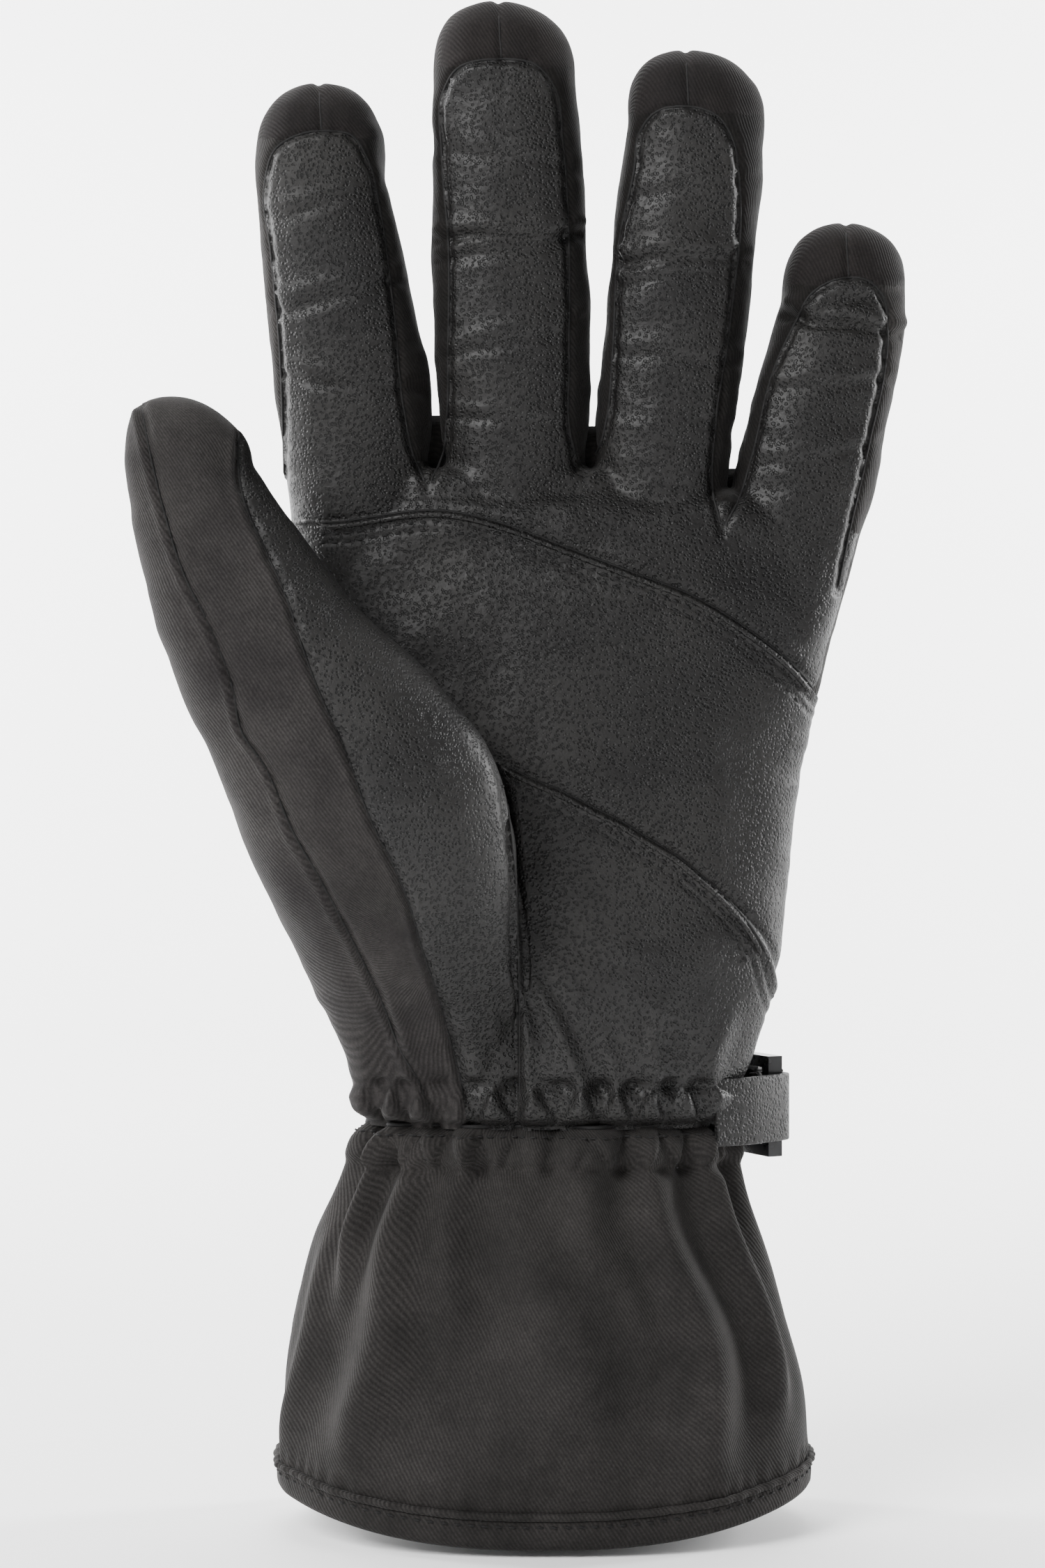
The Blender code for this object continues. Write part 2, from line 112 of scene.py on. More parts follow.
# Digits with joints in the frame, and how far along each joint's axis the digit starts.
bends = {
    "index": (3.0, 23.0),
    "middle": (-3.0, 18.0),
    "ring": (-3.0, 18.0),
    "little": (3.0, 21.0),
    "thumb": (-5.0, 20.0),
}

# Half the room that a digit takes up across its axis, at most.
widestDigit = 16.8

# Edges of the leather faces, as seen from the front: left edge up, then right edge down.
faceOutlines = {
    "index": [(-48.9, 196), (-49.2, 207), (-49.9, 227), (-51.6, 246), (-52.8, 259), (-50.6, 266),
              (-46, 268.6),
              (-41, 269.2), (-36.4, 268.4), (-33.4, 264), (-31, 254), (-28.4, 235), (-26.4, 216),
              (-24.4, 207), (-22.6, 203), (-22, 196)],
    "middle": [(-21.4, 196), (-21.2, 203), (-19.3, 207), (-18.4, 214), (-18.1, 228), (-18, 247),
               (-19.3, 265), (-19.2, 276), (-16.6, 280.8),
               (-8.5, 282.8), (-1, 281.4), (2, 277.6), (3.6, 267), (4.8, 248), (4.8, 226), (5.0, 212),
               (6.4, 206), (6.8, 196)],
    "ring": [(7.8, 192), (8, 205), (10.4, 209), (12, 215), (13, 226), (14.6, 250), (17.2, 262), (18.2, 269),
             (21, 272.6),
             (27.5, 273.8), (33, 272), (35.8, 267.6), (36.9, 261), (35.2, 232), (32.6, 214), (32.2, 200),
             (33.4, 195), (33.6, 188)],
    "little": [(34.4, 182), (34.6, 194.6), (36.8, 199), (39.3, 207), (44, 225), (48, 233.5), (50.4, 238),
               (56, 241.2),
               (62, 240.6), (64.6, 237), (65.1, 231), (61.4, 209), (57.6, 192), (55.6, 182)],
}

upperRim = [(-60, 193.6), (-46.2, 194.8), (-38.9, 194.8), (-32.1, 195.8), (-25.2, 196.8), (-18.3, 196.9),
            (-14.1, 196.2),
            (-4.5, 193.4), (4.5, 189.9), (16.2, 185.5), (28.6, 180.6), (39.7, 173.7), (47.3, 167.5),
            (54, 159), (66, 142)]
lowerRim = [(-60, 158), (-9.1, 149.7), (-3.4, 146.7), (2.9, 144), (8.8, 141), (14.3, 138.3), (20.2, 134.6),
            (24.7, 131.9),
            (29.7, 127.8), (34.7, 123.3), (38.3, 119.2), (41, 115), (43.4, 106), (50, 84)]
# Below this line the front is palm leather, and above it each finger has its own face.
crotchLine = [(-70, 199), (-30, 199), (-23, 203), (-20.6, 203), (0, 200), (6, 206), (8.4, 205.6), (14, 198),
              (30, 191),
              (33, 194.8), (35, 194.6), (40, 188), (58, 181), (80, 175)]
palmBorder = [(78, 37.5), (100, 40.6), (108, 42.0), (120, 44.6), (140, 47.4), (160, 51.2), (172, 54.2),
              (182, 55.9), (192, 57.5)]
thumbPalmSeam = [(-8.9, 149), (-7.5, 145), (-6.2, 136), (-5.3, 127), (-4.9, 115.5), (-4.6, 100), (-4.6, 78)]
leatherTwillSeam = [(-54, 224), (-57.9, 209), (-57, 200), (-52.8, 190), (-49.2, 182), (-45.7, 171.5),
                    (-42.1, 162),
                    (-38.3, 153.6), (-32.2, 137.5), (-28.9, 131), (-25.6, 123), (-23.2, 115), (-20.3, 106),
                    (-18, 98),
                    (-15.7, 89), (-14.2, 78)]
twillTwillSeam = [(-77, 226), (-75.5, 213.6), (-71.8, 197), (-68.2, 185.5), (-63.6, 176), (-59, 164),
                  (-57.2, 155.5),
                  (-52.9, 149), (-47.7, 137), (-42.1, 127), (-36.8, 117), (-31.2, 105.5), (-26.5, 94),
                  (-23.6, 89), (-20, 78)]

wrist = {
    "seam": 82.2, "pinch": 1.9, "reach": 7.4, "height": 1.9,
    "upper": [-34, -29, -23.5, -15.7, -9.6, -1.8, 7, 13.7, 19.8, 26.5, 32],
    "lower": [-34.4, -30.8, -25.7, -20.7, -14.3, -9, -1.3, 4.3, 12, 18.2, 24.3, 29.3, 33.4],
}

cuff = {
    "rows": [(7, -49.8, 49.8, 29), (16, -49.8, 49.8, 29), (30, -49.2, 48.8, 27.6), (43, -47.7, 46.0, 25.6),
             (60, -43.2, 41.0, 22.2), (72, -37.6, 37.4, 19.4), (82.2, -35.2, 35.4, 17.4)],
    "sideRise": 8.3, "riseReach": 45, "band": 6.0, "columns": 320, "rowCount": 110,
}


def smoothStep(low, high, value):
    t = np.clip((value - low) / (high - low), 0, 1)
    return t * t * (3 - 2 * t)


# Smooth curve through rows that start with their place along it.
def readRows(rows, places):
    rows = np.array(rows, float)
    x = rows[:, 0]
    y = rows[:, 1:]
    slopes = np.gradient(y, x, axis=0)
    places = np.clip(places, x[0], x[-1])
    low = np.clip(np.searchsorted(x, places, side="right") - 1, 0, len(x) - 2)
    span = (x[low + 1] - x[low])[:, None]
    t = ((places - x[low]) / span[:, 0])[:, None]
    h00 = 2 * t**3 - 3 * t**2 + 1
    h10 = t**3 - 2 * t**2 + t
    h01 = -2 * t**3 + 3 * t**2
    h11 = t**3 - t**2
    return h00 * y[low] + h10 * span * slopes[low] + h01 * y[low + 1] + h11 * span * slopes[low + 1]


# A point that is seen at x, z from the front and lies at depth y.
def atDepth(x, z, y):
    eyeX, eyeY, eyeZ = view["eye"]
    share = (y - eyeY) / -eyeY
    return eyeX + (x - eyeX) * share, eyeZ + (z - eyeZ) * share


# Where points are seen from the front.
def seenFrom(points):
    eyeX, eyeY, eyeZ = view["eye"]
    share = -eyeY / (points[:, 1] - eyeY)
    return np.stack([eyeX + (points[:, 0] - eyeX) * share, eyeZ + (points[:, 2] - eyeZ) * share], 1)


def smoothLine(points, step=1.4):
    points = np.array(points, float)
    lengths = np.concatenate([[0], np.cumsum(np.linalg.norm(np.diff(points, axis=0), axis=1))])
    rows = np.column_stack([lengths, points])
    count = max(2, int(lengths[-1] / step))
    return readRows(rows, np.linspace(0, lengths[-1], count))


# Signed distance to an open line: positive on its left when walking along it. Also
# gives the distance walked to the nearest place.
def lineDistance(points, line):
    best = np.full(len(points), 1e9)
    side = np.zeros(len(points))
    walked = np.zeros(len(points))
    start = 0.0
    for a, b in zip(line, line[1:]):
        d = b - a
        length = np.linalg.norm(d)
        t = np.clip(((points - a) @ d) / length**2, 0, 1)
        off = points - a - t[:, None] * d
        distance = np.einsum("ij,ij->i", off, off)
        closer = distance < best
        best[closer] = distance[closer]
        side[closer] = (d[0] * (points[:, 1] - a[1]) - d[1] * (points[:, 0] - a[0]))[closer]
        walked[closer] = (start + t * length)[closer]
        start += length
    return np.sqrt(best) * np.where(side >= 0, 1, -1), walked


def insideOutline(points, outline):
    inside = np.zeros(len(points), bool)
    closed = np.concatenate([outline, outline[:1]])
    for (x0, z0), (x1, z1) in zip(closed, closed[1:]):
        if z0 == z1:
            continue
        crosses = (z0 > points[:, 1]) != (z1 > points[:, 1])
        inside ^= crosses & (points[:, 0] < x0 + (points[:, 1] - z0) * (x1 - x0) / (z1 - z0))
    return inside


# Distances are worked out once on a grid over the front view, then read between its points.
grid = {"x": (-96.0, 88.0), "z": (66.0, 304.0), "step": 0.9}


def makeField(line, isOutline):
    xs = np.arange(*grid["x"], grid["step"])
    zs = np.arange(*grid["z"], grid["step"])
    places = np.stack(np.meshgrid(xs, zs, indexing="ij"), -1).reshape(-1, 2)
    distance, walk = lineDistance(places, line)
    if isOutline:
        distance = np.abs(distance) * np.where(insideOutline(places, line), 1, -1)
    return np.stack([distance, walk], -1).reshape(len(xs), len(zs), 2)


def readField(field, seen):
    u = np.clip((seen[:, 0] - grid["x"][0]) / grid["step"], 0, field.shape[0] - 1.001)
    v = np.clip((seen[:, 1] - grid["z"][0]) / grid["step"], 0, field.shape[1] - 1.001)
    i, j = u.astype(int), v.astype(int)
    u, v = (u - i)[:, None], (v - j)[:, None]
    low = field[i, j] * (1 - u) + field[i + 1, j] * u
    high = field[i, j + 1] * (1 - u) + field[i + 1, j + 1] * u
    return (low * (1 - v) + high * v).T


# Smooth random values between -1 and 1, the same on each run.
def noiseAt(points, wavelength, seed):
    place = points / wavelength + seed * 31.7
    cell = np.floor(place).astype(np.int64)
    part = place - cell
    part = part * part * (3 - 2 * part)
    total = np.zeros(len(points))
    for corner in itertools.product((0, 1), repeat=points.shape[1]):
        mixed = ((cell + corner) * (73856093, 19349663, 83492791)[:points.shape[1]]).sum(axis=1)
        mixed = (mixed ^ (mixed >> 13)) * 1274126177 % 4294967296
        weight = np.prod(np.where(corner, part, 1 - part), axis=1)
        total += weight * (mixed / 2147483648.0 - 1)
    return total


def activate(obj):
    bpy.ops.object.select_all(action="DESELECT")
    obj.select_set(True)
    bpy.context.view_layer.objects.active = obj


def addMeshObject(name, points, faces, smooth=True):
    mesh = bpy.data.meshes.new(name)
    mesh.from_pydata(((np.asarray(points, float) - (0, 0, hemHeight)) * mm).tolist(), [], faces)
    mesh.update()
    if smooth:
        mesh.shade_smooth()
    obj = bpy.data.objects.new(name, mesh)
    bpy.context.scene.collection.objects.link(obj)
    return obj


def tubeMesh(spec, sides=56):
    rows = list(spec["slices"])
    tipX, tipZ = spec["tip"]
    low, high = rows[0][0], rows[-1][0]
    heights = list(np.linspace(low, high, max(3, int((high - low) / 1.5))))
    domes = [0.1, 0.22, 0.34, 0.46, 0.57, 0.67, 0.76, 0.84, 0.9, 0.945, 0.975, 0.993]
    heights += [high + (tipZ - high) * d for d in domes]
    values = readRows(rows, np.array(heights))
    angles = np.linspace(0, 2 * math.pi, sides, endpoint=False)
    across = np.sign(np.cos(angles)) * np.abs(np.cos(angles)) ** 0.82
    through = np.sign(np.sin(angles)) * np.abs(np.sin(angles)) ** 0.80
    points = []
    for height, (left, right, front, back) in zip(heights, values):
        over = max(0, (height - high) / (tipZ - high))
        close = max(1 - over ** spec["round"], 0) ** (1 / 2.1)
        middle = (left + right) / 2 * (1 - over**2) + tipX * over**2
        centreY = (front + back) / 2
        halfX, halfY = (right - left) / 2 * close, (back - front) / 2 * close
        y = centreY + halfY * through
        x, z = atDepth(middle + halfX * across, height, centreY)
        points += np.column_stack([x, y, np.full(sides, z)]).tolist()
    count = len(heights)
    bottomX, bottomZ = atDepth((rows[0][1] + rows[0][2]) / 2, low, (rows[0][3] + rows[0][4]) / 2)
    topX, topZ = atDepth(tipX, tipZ, (rows[-1][3] + rows[-1][4]) / 2)
    points.append((bottomX, (rows[0][3] + rows[0][4]) / 2, bottomZ))
    points.append((topX, (rows[-1][3] + rows[-1][4]) / 2, topZ))
    faces = []
    for j in range(count - 1):
        for i in range(sides):
            near, far = j * sides + i, j * sides + (i + 1) % sides
            faces.append((near, far, far + sides, near + sides))
    for i in range(sides):
        faces.append(((i + 1) % sides, i, count * sides))
        last = (count - 1) * sides
        faces.append((last + i, last + (i + 1) % sides, count * sides + 1))
    return points, faces


def buildBody():
    points, faces = [], []
    for spec in tubes.values():
        start = len(points)
        tubePoints, tubeFaces = tubeMesh(spec)
        points += tubePoints
        faces += [tuple(v + start for v in face) for face in tubeFaces]
    obj = addMeshObject("bodyStock", points, faces)
    remesh = obj.modifiers.new("union", "REMESH")
    remesh.mode = "VOXEL"
    remesh.voxel_size = bodyMesh["voxel"] * mm
    activate(obj)
    bpy.ops.object.modifier_apply(modifier="union")
    mesh = obj.data
    vertices = np.empty(len(mesh.vertices) * 3)
    mesh.vertices.foreach_get("co", vertices)
    vertices = vertices.reshape(-1, 3) / mm + (0, 0, hemHeight)
    polygons = np.empty(len(mesh.polygons) * 4, int)
    mesh.loops.foreach_get("vertex_index", polygons)
    polygons = polygons.reshape(-1, 4)
    bpy.data.objects.remove(obj)
    print(f"body stock: {len(vertices)} points")
    return vertices, polygons


class Surface:
    def __init__(self, points, quads):
        self.points = points
        self.quads = quads
        edges = np.concatenate([quads[:, [0, 1]], quads[:, [1, 2]], quads[:, [2, 3]], quads[:, [3, 0]]])
        self.first, self.second = edges[:, 0], edges[:, 1]
        self.degree = np.bincount(self.first, minlength=len(points)) + np.bincount(self.second,
                                                                                   minlength=len(points))

    def average(self, values):
        total = np.zeros_like(values)
        for column in range(values.shape[1]):
            total[:, column] = np.bincount(self.first, values[self.second, column], len(values))
            total[:, column] += np.bincount(self.second, values[self.first, column], len(values))
        return total / np.maximum(self.degree, 1)[:, None]

    def smooth(self, rounds, strength=0.6):
        for _ in range(rounds):
            self.points = self.points + (self.average(self.points) - self.points) * strength

    def normals(self):
        p = self.points
        q = self.quads
        n = np.cross(p[q[:, 2]] - p[q[:, 0]], p[q[:, 3]] - p[q[:, 1]])
        out = np.zeros_like(p)
        for corner in range(4):
            for column in range(3):
                out[:, column] += np.bincount(q[:, corner], n[:, column], len(p))
        return out / np.maximum(np.linalg.norm(out, axis=1), 1e-12)[:, None]


def jointAxes():
    axes = {}
    for joint in frame["record"]["behaviour"]["joints"]:
        child = joint["child"]
        if child not in bends:
            continue
        pivot = np.array(joint["pos_m"]) / mm + (0, 0, hemHeight)
        if child == "thumb":
            along = np.array((-0.457, 0, 0.889))
        else:
            axis = np.array(joint["axis"])
            along = np.array((-axis[2], 0, axis[0]))
        axes[child] = (pivot, along)
    return axes


joints = jointAxes()
regionNames = []


def regionIndex(name):
    if name not in regionNames:
        regionNames.append(name)
    return regionNames.index(name)


lines = {
    "upperRim": smoothLine(upperRim), "lowerRim": smoothLine(lowerRim),
    "thumbPalm": smoothLine(thumbPalmSeam),
    "leatherTwill": smoothLine(leatherTwillSeam), "twillTwill": smoothLine(twillTwillSeam),
}
outlines = {name: smoothLine(points, 1.2) for name, points in faceOutlines.items()}
fields = {name: makeField(line, False) for name, line in lines.items()}
fields.update({"face_" + name: makeField(line, True) for name, line in outlines.items()})


# Which points belong to the thumb's own bulk, in front of the palm.
def thumbSide(points, seen):
    free = (points[:, 1] < -20.6) & (seen[:, 0] < np.interp(seen[:, 1], [148, 197], [-4, -44]) + 4)
    below = seen[:, 1] < 149.5
    palmSeam, _ = lineDistance(seen, lines["thumbPalm"])
    return np.where(below, (palmSeam < 0) & (points[:, 1] < 1), free)


def measure(surface):
    points = surface.points
    seen = seenFrom(points)
    found = {"seen": seen, "normal": surface.normals()}
    for name, field in fields.items():
        found[name], found[name + "Walk"] = readField(field, seen)
    found["thumb"] = thumbSide(points, seen)
    digit = np.full(len(points), -1)
    reach = np.full(len(points), 1e9)
    for index, name in enumerate(("index", "middle", "ring", "little")):
        pivot, along = joints[name]
        lean = np.array((along[2], 0, -along[0]))
        offset = points - pivot
        lateral = np.abs(offset @ lean)
        near = (lateral < reach) & (lateral < widestDigit)
        take = near & (offset @ along > bends[name][0]) & ~found["thumb"]
        digit[take] = index
        reach[take] = lateral[take]
    found["digit"] = digit
    return found


def valley(distance, width, depth):
    return -depth * np.exp(-((distance / width) ** 2))


# Gathered fabric beside the wrist seam: a puff that narrows away from the seam.
def puckers(sideways, away, peaks):
    phase = np.interp(sideways, peaks, np.arange(len(peaks)))
    offset = np.abs(phase - np.round(phase))
    width = np.clip(0.56 * (1 - away / (wrist["reach"] * 1.12)), 0.02, 1)
    puff = np.sqrt(np.clip(1 - (offset / width) ** 2, 0, 1)) * smoothStep(0, 1.6, away)
    puff *= 1 - smoothStep(wrist["reach"] * 0.75, wrist["reach"] * 1.1, away)
    return wrist["height"] * puff, phase


creases = [
    ("index", 237, 0.25, 0.59), ("index", 222, -0.1, 0.39), ("index", 255, 0.3, 0.29),
    ("middle", 249, 0.05, 1),
    ("middle", 246.2, 0.16, 0.65), ("middle", 229, 0.2, 0.45), ("middle", 214, -0.1, 0.39),
    ("middle", 264, -0.15, 0.33),
    ("ring", 244.5, 0.0, 0.91), ("ring", 241.5, 0.1, 0.39), ("ring", 226, -0.1, 0.39),
    ("ring", 258, 0.2, 0.33),
    ("little", 232.5, -0.15, 1.2), ("little", 236.5, 0.2, 0.59), ("little", 221, 0.1, 0.45),
    ("little", 208, 0.2, 0.39),
]
palmFolds = [
    ((-3.5, 84), (-3.2, 97), (-7.5, 112), 1.6, 0.95), ((8, 86), (3.5, 98), (-3, 111), 1.5, 0.9),
    ((22, 86), (20.5, 96), (23, 108), 1.6, 0.95), ((14, 86), (13, 93), (10.5, 101), 1.4, 0.6),
    ((-12, 86), (-13.5, 97), (-17, 108), 1.6, 0.6), ((30.5, 86), (31.5, 95), (35, 104), 1.7, 0.7),
    ((-25, 88), (-27, 98), (-30.5, 108), 1.5, 0.5),
]


def shapeBody(surface):
    facts = measure(surface)
    points = surface.points
    seen = facts["seen"]
    normal = facts["normal"]
    front = smoothStep(0.05, 0.45, -normal[:, 1])
    back = smoothStep(0.05, 0.45, normal[:, 1])
    thumb = facts["thumb"]
    digit = facts["digit"]
    palm = ~thumb & (digit < 0)
    names = list(outlines)

    push = 0.5 * noiseAt(points, 15, 1) + 0.26 * noiseAt(points, 6.5, 2) + 0.05 * noiseAt(points, 2.6, 3)
    wrinkles = noiseAt(points * (0.16, 0.1, 0.36), 1, 4) * smoothStep(-0.3, 0.6, noiseAt(points, 19, 6))
    push += 0.28 * wrinkles

    crotch = np.interp(seen[:, 0], *np.array(crotchLine).T)
    for index, name in enumerate(names):
        near = (digit == index) | palm
        distance, walk = facts["face_" + name], facts["face_" + name + "Walk"]
        above = smoothStep(-4, 1, seen[:, 1] - crotch)
        seam = valley(distance, 0.7, 0.8) + 0.2 * np.exp(-(((distance - 1.4) / 0.9) ** 2))
        pull = 0.12 * np.sin(walk * 2 * math.pi / 4.6 + 2 * noiseAt(points, 11,
                                                                    8)) * np.exp(-np.abs(distance) / 2.6)
        push += (seam + pull) * near * front * above
        faceTop = max(z for _, z in faceOutlines[name])
        tipLine = tubes[name]["tip"][0] - (seen[:, 1] - tubes[name]["tip"][1]) * 0.06
        push += valley(seen[:, 0] - tipLine, 0.7, 0.6) * (digit == index) * smoothStep(-1, 1,
                                                                                       seen[:, 1] - faceTop)
        backSeam = points[:, 2] - (faceTop - 12)
        push += valley(backSeam, 0.8, 0.6) * (digit == index) * back

    for name in ("leatherTwill", "twillTwill"):
        distance, walk = facts[name], facts[name + "Walk"]
        ripple = 0.16 * np.sin(walk * 2 * math.pi / 7.3 + 3 * noiseAt(points, 15,
                                                                      9)) * np.exp(-np.abs(distance) / 3.5)
        ridge = 0.45 * np.exp(-(((distance + 1.1) / 0.8) ** 2))
        push += (valley(distance, 0.85, 0.9) + ridge + ripple) * thumb * front
    push += valley(facts["thumbPalm"], 0.9, 1.2) * front * (seen[:, 1] < 149)
    drag = noiseAt(np.stack([seen[:, 0] * 0.07, seen[:, 1] * 0.19 + seen[:, 0] * 0.1], 1), 1, 10)
    push += 0.5 * drag * thumb * (facts["leatherTwill"] < 0) * smoothStep(100, 130, seen[:, 1])

    onPalm = front * ~thumb
    patch = smoothStep(-0.2, 0.3, -facts["upperRim"])
    heel = smoothStep(-0.2, 0.3, -facts["lowerRim"]) * smoothStep(84, 96, seen[:, 1])
    push += onPalm * (0.8 * patch + 0.75 * heel)
    for name in ("upperRim", "lowerRim"):
        distance = -facts[name]
        fold = 0.3 * np.exp(-(((distance - 0.6) / 0.5) ** 2)) - 0.5 * np.exp(-(((distance + 0.7) / 0.7) ** 2))
        rows = -0.3 * (np.exp(-(((distance - 1.9) / 0.4) ** 2)) + np.exp(-(((distance - 3.5) / 0.4) ** 2)))
        push += onPalm * (fold + rows)

    # The gathered wrist, and the folds that fan up from it.
    away = points[:, 2] - wrist["seam"]
    flat = smoothStep(0.0, 0.45, np.abs(normal[:, 1]))
    puff, phase = puckers(seen[:, 0], np.maximum(away, 0), wrist["upper"])
    push += puff * flat
    ditch = 1.8 * np.exp(-(((away - wrist["reach"] - 0.4) / 1.3) ** 2))
    push -= ditch * (0.55 - 0.45 * np.cos(2 * math.pi * phase)) * flat
    push -= wrist["pinch"] * np.exp(-((away / 2.2) ** 2))
    push += 0.5 * np.cos(2 * math.pi * phase * 0.5 + 0.8) * np.exp(-(((away - 13) / 8) ** 2)) * flat
    for start, bend, end, width, height in palmFolds:
        middle = np.interp(seen[:, 1], [start[1], bend[1], end[1]], [start[0], bend[0], end[0]])
        along = smoothStep(start[1] - 3, start[1] + 3,
                           seen[:, 1]) * (1 - smoothStep(end[1] - 9, end[1] + 3, seen[:, 1]))
        side = (seen[:, 0] - middle) / width
        push += front * height * along * (np.exp(-(side**2)) - 0.45 * np.exp(-((np.abs(side) - 1.9) ** 2)))

    for name, z, slope, depth in creases:
        here = digit == names.index(name)
        middle = tubes[name]["tip"][0]
        bend = 1.1 * noiseAt(points, 7, 7)
        line = seen[:, 1] - z - slope * (seen[:, 0] - middle) + bend
        ridge = 0.65 * depth * np.exp(-(((line - 2.6) / 1.5) ** 2))
        push += (valley(line, 1.1, depth) + ridge) * here * front

    # Yoke seam across the back of the hand.
    yoke = points[:, 2] - 150 - 6 * np.cos(points[:, 0] / 45 * math.pi / 2)
    push += (valley(yoke, 0.8, 0.55) + 0.2 * np.exp(-(((yoke + 1.5) / 1) ** 2))) * back * palm

    surface.points = points + normal * push[:, None]
    surface.smooth(1, 0.3)
    print("body shaped")


# Face regions. Seam lines are followed by moving the nearest points onto them.
def snapTo(surface, key, mask, reach):
    probe = 0.3
    facts = measure(surface)
    near = mask(facts) & (np.abs(facts[key]) < reach)
    share = (surface.points[near, 1] - view["eye"][1]) / -view["eye"][1]
    for _ in range(2):
        seen = seenFrom(surface.points[near])
        distance = readField(fields[key], seen)[0]
        slopeX = (readField(fields[key], seen + (probe, 0))[0] - distance) / probe
        slopeZ = (readField(fields[key], seen + (0, probe))[0] - distance) / probe
        steep = np.maximum(slopeX**2 + slopeZ**2, 0.25)
        surface.points[near, 0] -= distance * slopeX / steep * share
        surface.points[near, 2] -= distance * slopeZ / steep * share


def labelFaces(surface):
    centres = surface.points[surface.quads].mean(axis=1)
    q = surface.quads
    p = surface.points
    n = np.cross(p[q[:, 2]] - p[q[:, 0]], p[q[:, 3]] - p[q[:, 1]])
    n /= np.maximum(np.linalg.norm(n, axis=1), 1e-9)[:, None]
    helper = Surface(centres, surface.quads[:0])
    helper.normals = lambda: n
    facts = measure(helper)
    seen = facts["seen"]
    label = np.full(len(centres), -1)
    thumb = facts["thumb"]
    facing = n[:, 1] < 0.25

    def put(mask, name):
        label[mask & (label < 0)] = regionIndex(name)

    crotch = np.interp(seen[:, 0], *np.array(crotchLine).T)
    border = np.interp(seen[:, 1], *np.array(palmBorder).T)
    onPalm = (seen[:, 0] < border + 3) & (seen[:, 0] > -60) & (centres[:, 1] < np.where(centres[:, 0] > 0,
                                                                                        -5.5, 0.5))

    pivot, along = joints["thumb"]
    beyond = (centres - pivot) @ along > bends["thumb"][0]
    for free, tag in ((beyond, "thumb"), (~beyond, "thumb_base")):
        area = thumb & free
        put(area & (n[:, 1] < 0.7) & (facts["leatherTwill"] > 0), tag + "_leather")
        put(area & facing & (facts["twillTwill"] > 0), tag + "_strip")
        put(area, tag + "_outer")

    for index, name in enumerate(outlines):
        mine = facts["digit"] == index
        pivot, along = joints[name]
        offset = centres - pivot
        lean = np.array((along[2], 0, -along[0]))
        lateral = offset @ lean
        faceTop = outlines[name][:, 1].max()
        front = (centres[:, 1] < -1) & facing
        low = seen[:, 1] < crotch + 2.5
        put(mine & front & ((facts["face_" + name] > 0) & ~low | low & onPalm), name + "_face")
        put(mine & (seen[:, 1] > faceTop - 1.5), name + "_tip")
        put(mine & (centres[:, 1] > 5.5), name + "_back")
        put(mine & (lateral < 0), name + "_left_side")
        put(mine, name + "_right_side")

    rest = label < 0
    put(rest & onPalm & (facts["upperRim"] > 0), "palm_upper")
    put(rest & onPalm & (facts["lowerRim"] > 0), "palm_patch")
    put(rest & onPalm, "palm_heel")
    inThumbCrook = (n[:, 0] > 0.1) & (centres[:, 0] < 5) & (centres[:, 1] < 4)
    put(rest & inThumbCrook, "thumb_base_leather")
    put(rest & (centres[:, 1] > 4), "hand_back")
    put(rest & (centres[:, 0] > 0), "hand_little_side")
    put(rest, "hand_thumb_side")
    return label


def cutPieces(surface, label):
    normals = surface.normals()
    made = {}
    for index, name in enumerate(regionNames):
        quads = surface.quads[label == index]
        if len(quads) == 0:
            continue
        used, packed = np.unique(quads, return_inverse=True)
        obj = addMeshObject(name, surface.points[used], packed.reshape(-1, 4).tolist())
        obj.data.normals_split_custom_set_from_vertices(normals[used].tolist())
        made[name] = obj
    print(f"{len(made)} skin pieces")
    return made


# Soft folds of the cuff: place in degrees round it and how that drifts upwards, width in
# radians, height, and the shares of the cuff's height where the fold starts and ends.
cuffFolds = [
    (268, 8, 0.13, 3.4, 0.3, 0.9), (247, 5, 0.09, 2.0, 0.5, 0.95), (228, 10, 0.12, 3.2, 0.2, 0.85),
    (209, 12, 0.08, 3.2, 0.62, 0.93), (198, 8, 0.1, 1.6, 0.1, 0.6), (290, -6, 0.09, 2.4, 0.45, 0.9),
    (308, -9, 0.12, 3.3, 0.15, 0.9), (334, -8, 0.09, 2.0, 0.3, 0.8), (280, 0, 0.06, 1.5, 0.65, 0.95),
    (25, 8, 0.13, 1.8, 0.2, 0.8), (55, 6, 0.12, 2.2, 0.3, 0.85), (84, 3, 0.14, 2.0, 0.15, 0.8),
    (112, -4, 0.11, 1.8, 0.35, 0.9), (140, -8, 0.14, 2.2, 0.2, 0.8), (165, -6, 0.1, 1.4, 0.3, 0.85),
]


def cuffRadius(angles, heights):
    values = readRows(cuff["rows"], heights)
    left, right, half = values.T
    across = np.sign(np.cos(angles)) * np.abs(np.cos(angles)) ** 0.84
    through = np.sign(np.sin(angles)) * np.abs(np.sin(angles)) ** 0.84
    x = (left + right) / 2 + (right - left) / 2 * across
    y = half * through
    return x, y


